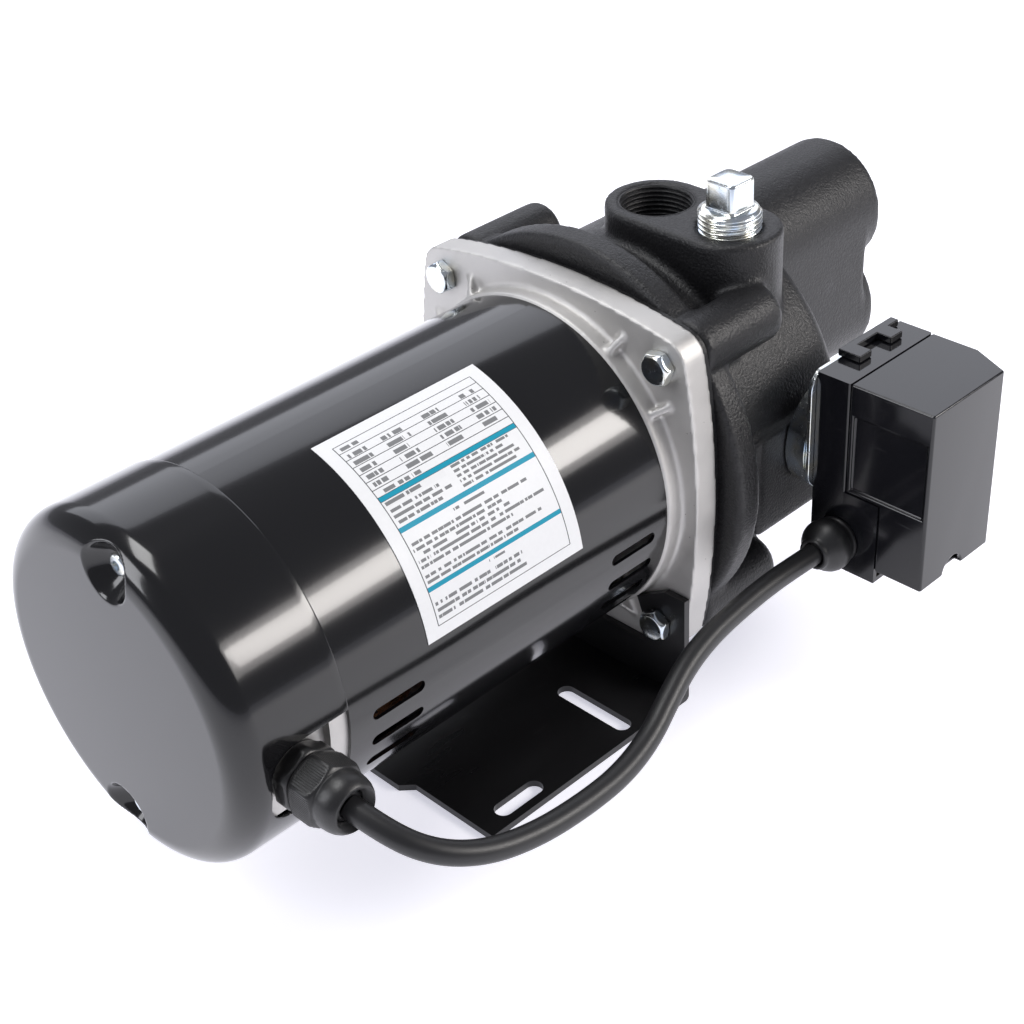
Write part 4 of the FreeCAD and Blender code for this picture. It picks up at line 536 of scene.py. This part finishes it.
def all_finishes():
    """Every finish by the record's slot name, made once."""
    c = colours()
    makers = {
        "gloss_black_paint": lambda n: enamel_finish(n, c.enamel),
        "satin_black_cast": lambda n: casting_finish(n, c.casting),
        "black_plate": lambda n: plate_finish(n, c.plate),
        "cast_aluminium": lambda n: aluminium_finish(n, c.aluminium),
        "zinc_steel": lambda n: zinc_finish(n, c.zinc),
        "ground_steel": lambda n: steel_finish(n, (0.52, 0.52, 0.53)),
        "bright_ball": lambda n: steel_finish(n, (0.72, 0.72, 0.74), 0.04, 0.09),
        "lamination": lambda n: lamination_finish(n, (0.26, 0.26, 0.28)),
        "copper": lambda n: winding_finish(n, (0.72, 0.33, 0.16)),
        "label": label_finish,
        "black_nylon": lambda n: satin_finish(n, c.nylon, 0.30, 0.44, 1400.0, 0.00008),
        "gloss_plastic": lambda n: moulding_finish(n, c.moulding),
        "pale_plastic": lambda n: satin_finish(n, (0.62, 0.57, 0.45), 0.35, 0.5, 900.0, 0.00005),
        "black_rubber": lambda n: satin_finish(n, c.rubber, 0.34, 0.50, 2200.0, 0.00006),
        "ceramic": lambda n: satin_finish(n, (0.82, 0.80, 0.75), 0.12, 0.2, 1500.0, 0.00001),
        "carbon": lambda n: satin_finish(n, (0.035, 0.035, 0.04), 0.25, 0.35, 1500.0, 0.00002),
        "moulded_black": lambda n: satin_finish(n, (0.022, 0.022, 0.024), 0.38, 0.52, 700.0, 0.00008),
        "brass": lambda n: steel_finish(n, (0.70, 0.50, 0.22)),
        "fibre_board": lambda n: satin_finish(n, (0.24, 0.13, 0.06), 0.4, 0.6, 900.0, 0.00006),
    }
    for slot, make in makers.items():
        make(FINISH % slot)


def finish(slot):
    """The finish made for a slot of the record."""
    return bpy.data.materials[FINISH % slot]


# ---------------------------------------------------------------- surfaces

def skin(name, points, material, node=None):
    """A piece of the pump's body from a grid of points; rows that shrink to one point close into a pole."""
    mesh = grid_mesh(points)
    mesh.name = name
    return finish_piece(name, mesh, material, "pump_body", node)


def finish_piece(name, mesh, material, body, node):
    """Join doubles, turn faces outwards, and hang the piece on its body."""
    work = bmesh.new()
    work.from_mesh(mesh)
    bmesh.ops.remove_doubles(work, verts=work.verts, dist=2e-6)
    bmesh.ops.recalc_face_normals(work, faces=work.faces)
    work.to_mesh(mesh)
    work.free()
    mesh.shade_smooth()
    piece = bpy.data.objects.new(name, mesh)
    bpy.context.scene.collection.objects.link(piece)
    mesh.materials.append(finish(material))
    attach(piece, body)
    if node:
        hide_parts(node)
    return piece


def joined(name, meshes):
    """Several meshes as one."""
    work = bmesh.new()
    for mesh in meshes:
        work.from_mesh(mesh)
    whole = bpy.data.meshes.new(name)
    work.to_mesh(whole)
    work.free()
    return whole


def grid_mesh(points):
    """A mesh of quads from a grid of points that closes round its columns."""
    rows, columns = points.shape[:2]
    index = np.arange(rows * columns).reshape(rows, columns)
    right = np.roll(index, -1, axis=1)
    quads = np.stack([index[:-1], right[:-1], right[1:], index[1:]], axis=-1).reshape(-1, 4)
    mesh = bpy.data.meshes.new("grid")
    mesh.from_pydata(points.reshape(-1, 3), [], quads)
    return mesh


def aimed(points, origin, axis):
    """Points from a frame whose third axis is the part's own, moved to an origin and axis."""
    turn = np.array(Vector((0, 0, 1)).rotation_difference(Vector(axis)).to_matrix())
    return points @ turn.T + np.array(origin)


def turned(radius, along, columns):
    """Surface of revolution: (r cos t, r sin t, h), with r given for each row, or each row and column."""
    turn = np.linspace(0, TURN, columns, endpoint=False)
    radius = np.broadcast_to(np.asarray(radius, float).reshape(len(along), -1), (len(along), columns))
    height = np.broadcast_to(np.asarray(along, float)[:, None], radius.shape)
    return np.stack([radius * np.cos(turn), radius * np.sin(turn), height], axis=-1)


def six_sided(columns, flats, offset=0.0):
    """Radius of a hexagon at each turn: half the flats over the cosine of the turn from its nearest flat."""
    turn = np.linspace(0, TURN, columns, endpoint=False) + offset
    near = (turn + TURN / 12) % (TURN / 6) - TURN / 12
    return flats / 2 / np.cos(near)


def soft_min(a, b, width):
    """Smaller of two lengths, rounded where they meet over a width."""
    h = np.clip(0.5 + 0.5 * (b - a) / width, 0, 1)
    return b + (a - b) * h - width * h * (1 - h)


def screw_wave(along, columns, pitch):
    """Triangle wave that climbs one pitch each turn, nought at a root and one at a crest."""
    turn = np.linspace(0, 1, columns, endpoint=False)
    phase = (np.asarray(along)[:, None] / pitch - turn[None, :]) % 1.0
    return np.clip(1.35 * (1 - np.abs(2 * phase - 1)), 0, 1)


def merged_copy(node):
    """A CAD node's mesh copied, its loose triangles joined and its stored normals dropped."""
    mesh = frame["nodes"][node].data.copy()
    mesh.name = node + "_fine"
    work = bmesh.new()
    work.from_mesh(mesh)
    bmesh.ops.remove_doubles(work, verts=work.verts, dist=2e-6)
    work.to_mesh(mesh)
    work.free()
    if "custom_normal" in mesh.attributes:
        mesh.attributes.remove(mesh.attributes["custom_normal"])
    mesh.materials.clear()
    return mesh


def cast_copy(name, node, slot, cell, passes):
    """A node as a sand casting: refaced on a fine grid, then smoothed so that every edge is soft."""
    piece = finish_piece(name, merged_copy(node), slot, body_of(node), node)
    reface = piece.modifiers.new("reface", "REMESH")
    reface.mode = "VOXEL"
    reface.voxel_size = cell
    reface.use_smooth_shade = True
    soften = piece.modifiers.new("soften", "SMOOTH")
    soften.factor = 0.5
    soften.iterations = passes
    return piece


def moulded_copy(name, node, slot, width, segments=3, clamp=True):
    """A flat-sided node with its coplanar triangles joined and its edges rounded."""
    mesh = merged_copy(node)
    work = bmesh.new()
    work.from_mesh(mesh)
    bmesh.ops.dissolve_limit(work, angle_limit=math.radians(1.0), verts=work.verts, edges=work.edges)
    work.to_mesh(mesh)
    work.free()
    piece = finish_piece(name, mesh, slot, body_of(node), node)
    edges = piece.modifiers.new("edges", "BEVEL")
    edges.width = width
    edges.segments = segments
    edges.limit_method = "ANGLE"
    edges.angle_limit = math.radians(32)
    edges.harden_normals = True
    edges.use_clamp_overlap = clamp
    return piece


def body_of(node):
    """The body that a node belongs to."""
    return frame["nodes"][node]["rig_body"]


# ---------------------------------------------------------------- operators

class JETPUMP_OT_finishes(bpy.types.Operator):
    """Give every node of the model the finish of its slot."""

    bl_idname = "jetpump.finishes"
    bl_label = "Finishes"

    def execute(self, context):
        all_finishes()
        for part in frame["record"]["subparts"]:
            mesh = frame["nodes"][part["node"]].data
            mesh.materials.clear()
            mesh.materials.append(finish(part["material_slot"]))
        return {"FINISHED"}


class JETPUMP_OT_camera(bpy.types.Operator):
    """Camera high over the rear corner on the switch side."""

    bl_idname = "jetpump.camera"
    bl_label = "Camera"

    def execute(self, context):
        data = bpy.data.cameras.new("view")
        data.sensor_width = 36.0
        data.lens = CAMERA_LENS
        data.clip_start = 0.01
        camera = bpy.data.objects.new("view", data)
        azimuth, height, roll = (math.radians(a) for a in CAMERA_ANGLES)
        back = Vector((math.sin(azimuth) * math.cos(height), -math.cos(azimuth) * math.cos(height),
                       math.sin(height)))
        side = Vector((math.cos(azimuth), math.sin(azimuth), 0.0))
        up = back.cross(side)
        right = math.cos(roll) * side + math.sin(roll) * up
        top = math.cos(roll) * up - math.sin(roll) * side
        turn = Matrix((right, top, back)).transposed().to_4x4()
        camera.matrix_world = Matrix.Translation(CAMERA_PLACE) @ turn
        bpy.context.scene.collection.objects.link(camera)
        bpy.context.scene.camera = camera
        return {"FINISHED"}


class JETPUMP_OT_cable(bpy.types.Operator):
    """Motor cable on one smooth line, and the rubber relief where it enters the switch."""

    bl_idname = "jetpump.cable"
    bl_label = "Cable"

    def execute(self, context):
        points = np.array(ROUTE) * MM + np.array((0, 0, SHAFT_HEIGHT))
        curve = bpy.data.curves.new("cable", "CURVE")
        curve.dimensions = "3D"
        spline = curve.splines.new("NURBS")
        spline.points.add(len(points) - 1)
        spline.points.foreach_set("co", np.column_stack([points, np.ones(len(points))]).ravel())
        spline.order_u = 3
        spline.use_endpoint_u = True
        spline.resolution_u = 12
        curve.bevel_depth = CABLE_RADIUS
        curve.bevel_resolution = 8
        curve.use_fill_caps = True
        curve.materials.append(finish("black_rubber"))
        cable = bpy.data.objects.new("cable", curve)
        bpy.context.scene.collection.objects.link(cable)
        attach(cable, "pump_body")
        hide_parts("motor_cable")
        self.relief()
        return {"FINISHED"}

    def relief(self):
        """Turned profile: flange at the wall, full bulb, narrowing shoulder, rolled lip and a bore."""
        low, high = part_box("strain_relief")
        along = np.array([0.0, 0.0, 0.8, 1.4, 2.0, 3.2, 4.6, 6.2, 8.0, 9.8, 11.4, 12.8, 13.8, 14.5, 15.1, 15.7,
                          16.2, 16.45, 16.5, 16.4, 15.8, 14.0, 12.0, 12.0]) * MM
        radius = np.array([0.0, 10.2, 10.4, 10.2, 9.9, 10.4, 11.1, 11.45, 11.4, 10.9, 10.0, 8.9, 7.9, 7.3, 7.05,
                           7.0, 6.8, 6.4, 5.9, 5.3, 4.9, 4.65, 4.6, 0.0]) * MM
        points = aimed(turned(radius, along, 72), (high.x, *RELIEF_YZ), (-1, 0, 0))
        points[..., 0] = np.maximum(points[..., 0], low.x)
        skin("relief_bulb", points, "black_rubber", "strain_relief")


class JETPUMP_OT_casting(bpy.types.Operator):
    """Cast iron casing with soft edges, and the threads of its three ports."""

    bl_idname = "jetpump.casting"
    bl_label = "Casing"

    def execute(self, context):
        s = sizes()
        cast_copy("casing_cast", "pump_casing", "satin_black_cast", s.casing_grain, 3)
        self.thread("outlet_thread", s, (PORT_X, 0, PORT_RIM), (0, 0, -1), OUTLET_BORE, OUTLET_DEPTH)
        self.thread("priming_thread", s, (PORT_X, PLUG_Y, PORT_RIM), (0, 0, -1), PRIMING_BORE, PRIMING_DEPTH)
        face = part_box("pump_casing")[1].x
        self.thread("suction_thread", s, (face, 0, SUCTION_Z), (-1, 0, 0), SUCTION_BORE, SUCTION_DEPTH)
        return {"FINISHED"}

    def thread(self, name, s, mouth, axis, bore, reach):
        """Closed sleeve whose inner wall is r = bore - depth * wave(h / pitch - turn), set into a port."""
        columns = 144
        along = np.linspace(0.6 * MM, reach, int(reach / (0.17 * MM)))
        fade = np.clip(along / (2.0 * MM), 0.0, 1.0)[:, None]
        inner = bore - s.thread_depth * screw_wave(along, columns, s.thread_pitch) * fade
        outer = np.full((2, columns), bore + 0.5 * MM)
        radius = np.vstack([inner, outer, inner[:1]])
        height = np.concatenate([along, [along[-1]], [along[0]], [along[0]]])
        skin(name, aimed(turned(radius, height, columns), mouth, axis), "satin_black_cast")


class JETPUMP_OT_bracket(bpy.types.Operator):
    """Cast aluminium front bracket with soft edges."""

    bl_idname = "jetpump.bracket"
    bl_label = "Front bracket"

    def execute(self, context):
        cast_copy("front_bracket_cast", "front_end_bracket", "cast_aluminium", sizes().bracket_grain, 1)
        return {"FINISHED"}


class JETPUMP_OT_cover(bpy.types.Operator):
    """Deep drawn rear cover: rolled rim, gland notch and two scooped screw recesses."""

    bl_idname = "jetpump.cover"
    bl_label = "Rear cover"

    def execute(self, context):
        s = sizes()
        low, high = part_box("rear_cover")
        back, rim = low.x, high.x
        outer, wall, bend = COVER_RADIUS, COVER_WALL, COVER_BEND
        turn = self.columns()
        end = self.rim_line(turn, rim - wall / 2)
        flat = outer - bend
        coarse, fine = np.linspace(0, 0.7, 10, endpoint=False), np.linspace(0.7, 1, 34, endpoint=False)
        face_r = np.concatenate([coarse, fine]) * flat
        arc = np.linspace(0, math.pi / 2, 26)
        curl = np.linspace(0, math.pi, 9)[1:-1]
        down = np.linspace(0, 1, 14)[1:]
        rows_r = [face_r, flat + bend * np.sin(arc), np.full(len(down), outer),
                  outer - wall / 2 + wall / 2 * np.cos(curl), np.full(len(down), outer - wall),
                  flat + (bend - wall) * np.sin(arc[::-1]), face_r[::-1]]
        straight = back + bend + down[:, None] * (end - back - bend)
        rows_x = [np.full((len(face_r), len(turn)), back),
                  np.repeat((back + bend * (1 - np.cos(arc)))[:, None], len(turn), 1),
                  straight, end + wall / 2 * np.sin(curl)[:, None], straight[::-1],
                  np.repeat((back + bend - (bend - wall) * np.cos(arc[::-1]))[:, None], len(turn), 1),
                  np.full((len(face_r), len(turn)), back + wall)]
        radius = np.concatenate(rows_r)[:, None] * np.ones(len(turn))
        x = np.concatenate(rows_x)
        y, z = -radius * np.sin(turn), radius * np.cos(turn)
        middle = len(face_r) + len(arc) + len(down) + 4
        inner = (np.arange(len(radius)) >= middle)[:, None] * wall
        for side in (1, -1):
            reach = np.hypot(y + side * RECESS_Y, z - side * RECESS_Z)
            slope = np.clip((reach - RECESS_FLOOR) / (s.scoop_radius - RECESS_FLOOR), 0, 1.6)
            scoop = back + s.scoop_depth * (1 - slope ** 1.7) + inner
            x = -soft_min(-x, -scoop, 1.1 * MM)
        points = np.stack([x, y, z + SHAFT_HEIGHT], axis=-1)
        skin("cover_skin", points, "gloss_black_paint", "rear_cover")
        return {"FINISHED"}

    def columns(self):
        """Turns from the top line towards the switch side, close together at the recesses and the notch."""
        even = np.arange(0, 360, 2.5)
        near = [np.arange(-14, 32, 0.55), np.arange(166, 212, 0.55) + 0.3, np.arange(84, 117, 0.6)]
        notch = [np.degrees(np.arccos(z / COVER_RADIUS)) + d for z in (NOTCH_TOP, NOTCH_BOTTOM)
                 for d in (-0.22, -0.08, 0.08, 0.22)]
        turn = np.unique(np.round(np.concatenate([even, *near, notch]) % 360, 3))
        keep = np.concatenate([[True], np.diff(turn) > 0.1])
        return np.radians(turn[keep])

    def rim_line(self, turn, rim):
        """Where the wall ends at each turn: the rim, or the rounded floor of the notch."""
        z = COVER_RADIUS * np.cos(turn)
        edge = np.minimum(NOTCH_TOP - z, z - NOTCH_BOTTOM)
        inside = (edge > 0) & (np.sin(turn) > 0)
        curve = COVER_BEND - np.sqrt(np.maximum(COVER_BEND ** 2 - np.maximum(COVER_BEND - edge, 0) ** 2, 0))
        return np.where(inside, rim + COVER_WALL / 2 - NOTCH_DEPTH + curve, rim)


class JETPUMP_OT_switch(bpy.types.Operator):
    """Pressure switch: rounded mouldings and coil springs."""

    bl_idname = "jetpump.switch"
    bl_label = "Pressure switch"

    def execute(self, context):
        edge = sizes().moulding_edge
        moulded_copy("switch_cover_shell", "switch_cover", "gloss_plastic", edge, clamp=False)
        moulded_copy("switch_base_shell", "switch_base", "gloss_plastic", edge)
        moulded_copy("switch_clip", "switch_latch", "gloss_plastic", edge * 0.6)
        plate = moulded_copy("switch_plate", "switch_back_plate", "zinc_steel", edge * 0.4, 2)
        self.trim(plate.data)
        self.springs()
        return {"FINISHED"}

    def trim(self, mesh):
        """Bring the plate's rear edge nearer the base: x = m - (m - x) * k behind its middle m."""
        places = np.empty(len(mesh.vertices) * 3)
        mesh.vertices.foreach_get("co", places)
        places = places.reshape(-1, 3)
        middle, share = RANGE_SPRING_X, 0.83
        behind = places[:, 0] < middle
        places[behind, 0] = middle - (middle - places[behind, 0]) * share
        mesh.vertices.foreach_set("co", places.ravel())
        mesh.update()

    def springs(self):
        """Coils: centre line (R cos t, R sin t, p t), a round wire swept along it, ends closed to a point."""
        s = sizes()
        low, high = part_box("switch_springs")
        free = high.y - low.y - 0.2 * MM
        coils = [self.coil((RANGE_SPRING_X, high.y, SPRING_Z), free, RANGE_SPRING_RADIUS, s.spring_wire,
                           s.spring_turns),
                 self.coil((SMALL_SPRING_X, high.y, SPRING_Z), free, SMALL_SPRING_RADIUS, s.spring_wire * 0.8,
                           s.spring_turns * 1.6)]
        mesh = joined("switch_coils", coils)
        finish_piece("switch_coils", mesh, "ground_steel", "pump_body", "switch_springs")

    def coil(self, start, length, radius, wire, turns):
        """Grid of one coil along -Y."""
        count = int(turns * 28)
        t = np.linspace(0, turns * TURN, count)
        rise = np.linspace(wire, length - wire, count)
        centre = np.stack([radius * np.cos(t), radius * np.sin(t), rise], axis=-1)
        out = np.stack([np.cos(t), np.sin(t), np.zeros(count)], axis=-1)
        slope = (length - 2 * wire) / (turns * TURN)
        ahead = np.stack([-radius * np.sin(t), radius * np.cos(t), np.full(count, slope)], axis=-1)
        ahead /= np.linalg.norm(ahead, axis=1, keepdims=True)
        over = np.cross(ahead, out)
        ring = np.linspace(0, TURN, 10, endpoint=False)
        size = np.full(count, wire)
        size[[0, -1]] = 0.0
        points = (centre[:, None] + size[:, None, None] * (np.cos(ring)[None, :, None] * out[:, None]
                                                         + np.sin(ring)[None, :, None] * over[:, None]))
        return grid_mesh(aimed(points, start, (0, -1, 0)))


class JETPUMP_OT_plug(bpy.types.Operator):
    """Priming plug: cut pipe thread, bevelled collar and square head."""

    bl_idname = "jetpump.plug"
    bl_label = "Priming plug"

    def execute(self, context):
        s = sizes()
        low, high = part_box("priming_plug")
        columns = 160
        reach = PLUG_THREAD
        along = np.linspace(0, reach - 1.4 * MM, 120)
        taper = np.clip((reach - along) / (2.2 * MM), 0, 1)[:, None]
        wave = screw_wave(along, columns, s.thread_pitch)
        body = PLUG_RADIUS - s.thread_depth * (1 - wave) * np.maximum(taper, 0.2)
        neck_h = np.array([reach - 1.2 * MM, reach - 0.5 * MM, reach, reach])
        neck_r = np.array([12.4, 12.0, 11.2, 0.0]) * MM
        radius = np.vstack([np.zeros((1, columns)), body, np.repeat(neck_r[:, None], columns, axis=1)])
        height = np.concatenate([[0.0], along, neck_h])
        stem = grid_mesh(aimed(turned(radius, height, columns), (PORT_X, PLUG_Y, low.z), (0, 0, 1)))
        square = self.square_head(high.z - low.z - reach, PLUG_FLATS)
        head = grid_mesh(aimed(square, (PORT_X, PLUG_Y, low.z + reach), (0, 0, 1)))
        finish_piece("plug_zinc", joined("plug", [stem, head]), "zinc_steel", "priming_plug", "priming_plug")
        return {"FINISHED"}

    def square_head(self, height, flats):
        """Squared circle |x|^n + |y|^n = a^n with n = 7, waisted at its root and bevelled at its top."""
        columns = 128
        turn = np.linspace(0, TURN, columns, endpoint=False)
        power = 7.0
        outline = flats / 2 / (np.abs(np.cos(turn)) ** power + np.abs(np.sin(turn)) ** power) ** (1 / power)
        rows_h = np.array([-0.6, 0.0, 0.5, 1.2, 0.90 * height / MM, 0.95 * height / MM, 0.985 * height / MM,
                           height / MM, height / MM]) * MM
        grow = np.array([1.10, 1.05, 1.01, 1.0, 1.0, 0.985, 0.955, 0.90, 0.0])
        bevel = np.array([20.0, 20.0, 20.0, 20.0, 9.6, 9.3, 9.0, 8.4, 20.0]) * MM
        radius = soft_min(outline[None, :] * grow[:, None], bevel[:, None], 0.5 * MM)
        radius[-1] = 0.0
        return turned(radius, rows_h, columns)


class JETPUMP_OT_gland(bpy.types.Operator):
    """Cable gland: ridged six-sided body, ridged nut with a smooth dome, and the rubber inside it."""

    bl_idname = "jetpump.gland"
    bl_label = "Cable gland"

    def execute(self, context):
        s = sizes()
        columns = s.nut_ridges * 6
        hexagon = six_sided(columns, GLAND_FLATS)
        turn = np.linspace(0, TURN, columns, endpoint=False)
        ridges = 0.22 * MM * (0.5 + 0.5 * np.cos(turn * s.nut_ridges))
        low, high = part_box("gland_nut")
        reach = (high.y - low.y) / MM
        along = np.array([0.0, 0.0, 0.5, 1.4, 2.4, 10.0, 11.2, 12.0, 12.4, 12.7, 13.3, 15.0, 17.0, 19.0, 20.6,
                          21.8, 22.6, reach, reach, reach - 1.0, reach - 4.0, reach - 4.0])
        limit = np.array([0.0, 11.6, 12.3, 12.9, 13.5, 13.5, 12.9, 12.3, 11.7, 11.2, 11.35, 11.45, 11.3, 10.9,
                          10.2, 9.3, 8.4, 7.4, 6.6, 6.1, 6.0, 0.0]) * MM
        groove = np.array([0, 0, 0, 0.6, 1, 1, 1, 0.5, 0, 0, 0, 0, 0, 0, 0, 0, 0, 0, 0, 0, 0, 0.0])
        self.six_sided_skin("gland_dome", hexagon - groove[:, None] * ridges, limit, along, high.y, "gland_nut")
        self.body(hexagon)
        self.seal()
        return {"FINISHED"}

    def six_sided_skin(self, name, outline, limit, along, start, node):
        """Outline at each row cut back to a turned limit: the smaller of the two, closed at both ends."""
        radius = soft_min(outline, limit[:, None], 0.25 * MM)
        radius[[0, -1]] = 0.0
        points = aimed(turned(radius, along * MM, radius.shape[1]), (GLAND_X, start, GLAND_Z), (0, -1, 0))
        skin(name, points, "black_nylon", node)

    def body(self, hexagon):
        """Thin washer flange, then the same six-sided form with chamfered ends."""
        low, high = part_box("gland_body")
        reach = (GLAND_FACE - low.y) / MM
        inner = (GLAND_FACE - high.y) / MM
        along = np.array([inner, inner, 0.0, 0.05, 0.3, 1.6, 2.0, 2.1, 2.6, 3.6,
                          reach - 1.4, reach - 0.5, reach, reach])
        limit = np.array([0.0, 9.9, 9.9, 11.2, 11.5, 11.5, 11.2, 11.1, 11.9, 12.9, 12.9, 12.3, 11.6, 0.0]) * MM
        self.six_sided_skin("gland_hex", hexagon[None, :], limit, along, GLAND_FACE, "gland_body")

    def seal(self):
        """Rubber ring that grips the cable, with claws pressed round it."""
        low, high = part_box("gland_seal")
        columns = 144
        claws = 6.4 * MM - 0.35 * MM * (np.cos(np.linspace(0, TURN, columns, endpoint=False) * 12) > 0.4)
        along = np.array([high.y, high.y, low.y + 0.8 * MM, low.y + 0.2 * MM, low.y + 0.2 * MM])
        radius = np.stack([claws * 0, claws, claws, claws - 0.6 * MM, claws * 0])
        points = aimed(turned(radius, high.y - along, columns), (GLAND_X, high.y, GLAND_Z), (0, -1, 0))
        skin("gland_grip", points, "black_rubber", "gland_seal")


class JETPUMP_OT_bolts(bpy.types.Operator):
    """Casing bolts: six-sided heads with a turned crown and a flat top."""

    bl_idname = "jetpump.bolts"
    bl_label = "Casing bolts"

    def execute(self, context):
        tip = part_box("casing_bolts")[1].x
        meshes = []
        columns = 144
        crown = np.array([5.2, 5.2, 5.2, 5.15, 4.75, 4.2, 3.4, 1.0, 0.35, 0.0, 0.0, -1.0]) * MM
        limit = np.array([0.0, 3.0, 5.5, 5.75, 6.35, 6.9, 7.6, 7.6, 7.2, 6.5, 4.0, 3.9]) * MM
        shank = np.full((2, columns), limit[-1])
        shank[-1] = 0.0
        for y, z in ((-1, -1), (-1, 1), (1, -1), (1, 1)):
            seat = BOLT_SEAT_HIGH if z > 0 else BOLT_SEAT_LOW
            hexagon = six_sided(columns, BOLT_FLATS, math.radians(17 * y + 9 * z))
            radius = soft_min(hexagon[None, :], limit[:, None], 0.15 * MM)
            radius[0] = 0.0
            along = np.concatenate([crown, [seat - tip, seat - tip]])
            points = turned(np.vstack([radius, shank]), along, columns)
            centre = (seat, y * BOLT_OFFSET, SHAFT_HEIGHT + z * BOLT_OFFSET)
            meshes.append(grid_mesh(aimed(points, centre, (-1, 0, 0))))
        finish_piece("bolts_zinc", joined("bolts", meshes), "zinc_steel", "pump_body", "casing_bolts")
        return {"FINISHED"}


class JETPUMP_OT_stage(bpy.types.Operator):
    """Pale floor, even surroundings and soft boxes."""

    bl_idname = "jetpump.stage"
    bl_label = "Studio"

    def execute(self, context):
        scene = bpy.context.scene
        scene.view_settings.view_transform = "Standard"
        mesh = bpy.data.meshes.new("floor")
        half = FLOOR_HALF
        corners = [(-half, -half, 0), (half, -half, 0), (half, half, 0), (-half, half, 0)]
        mesh.from_pydata(corners, [], [(0, 1, 2, 3)])
        floor = bpy.data.objects.new("floor", mesh)
        scene.collection.objects.link(floor)
        f = Finish("studio_floor", (0.86, 0.86, 0.87), 0.6)
        f.set("Emission Color", (0.94, 0.94, 1.06, 1.0))
        f.set("Emission Strength", 0.55)
        f.set("Base Color", f.blend(f.noise(3.0), (0.85, 0.85, 0.86), (0.87, 0.87, 0.88)))
        mesh.materials.append(f.material)
        world = bpy.data.worlds.new("surroundings")
        world.use_nodes = True
        world.node_tree.nodes["Background"].inputs[0].default_value = (0.90, 0.91, 1.0, 1.0)
        world.node_tree.nodes["Background"].inputs[1].default_value = 0.30
        scene.world = world
        for name, (away, wide, tall, watts, colour) in SOFT_BOXES.items():
            self.box(name, Vector(away), wide, tall, watts, colour)
        return {"FINISHED"}

    def box(self, name, away, wide, tall, watts, colour):
        """One soft box turned towards the pump."""
        data = bpy.data.lights.new(name, "AREA")
        data.shape = "RECTANGLE"
        data.size = wide
        data.size_y = tall
        data.energy = watts
        data.color = colour
        lamp = bpy.data.objects.new(name, data)
        lamp.location = Vector(AIM) + away
        lamp.rotation_mode = "QUATERNION"
        lamp.rotation_quaternion = (-away).to_track_quat("-Z", "Y")
        bpy.context.scene.collection.objects.link(lamp)


OPERATORS = (JETPUMP_OT_camera, JETPUMP_OT_finishes, JETPUMP_OT_cable, JETPUMP_OT_casting,
             JETPUMP_OT_bracket, JETPUMP_OT_cover, JETPUMP_OT_switch, JETPUMP_OT_plug, JETPUMP_OT_gland,
             JETPUMP_OT_bolts, JETPUMP_OT_stage)


class JETPUMP_PT_panel(bpy.types.Panel):
    """Sidebar list of the pieces and their settings."""

    bl_label = "Jet Pump"
    bl_idname = "JETPUMP_PT_panel"
    bl_space_type = "VIEW_3D"
    bl_region_type = "UI"
    bl_category = "Jet Pump"

    def draw(self, context):
        layout = self.layout
        for operator in OPERATORS:
            layout.operator(operator.bl_idname)
        for group in (context.scene.jetpump_sizes, context.scene.jetpump_colours):
            box = layout.box()
            for key in group.__annotations__:
                box.prop(group, key)


CLASSES = (JETPUMP_PG_sizes, JETPUMP_PG_colours, *OPERATORS, JETPUMP_PT_panel)


def register():
    for item in CLASSES:
        bpy.utils.register_class(item)
    bpy.types.Scene.jetpump_sizes = PointerProperty(type=JETPUMP_PG_sizes)
    bpy.types.Scene.jetpump_colours = PointerProperty(type=JETPUMP_PG_colours)


def unregister():
    del bpy.types.Scene.jetpump_colours
    del bpy.types.Scene.jetpump_sizes
    for item in reversed(CLASSES):
        bpy.utils.unregister_class(item)


def main():
    """Make every piece."""
    register()
    for operator in OPERATORS:
        group, name = operator.bl_idname.split(".")
        getattr(getattr(bpy.ops, group), name)()


if __name__ == "__main__":
    main()
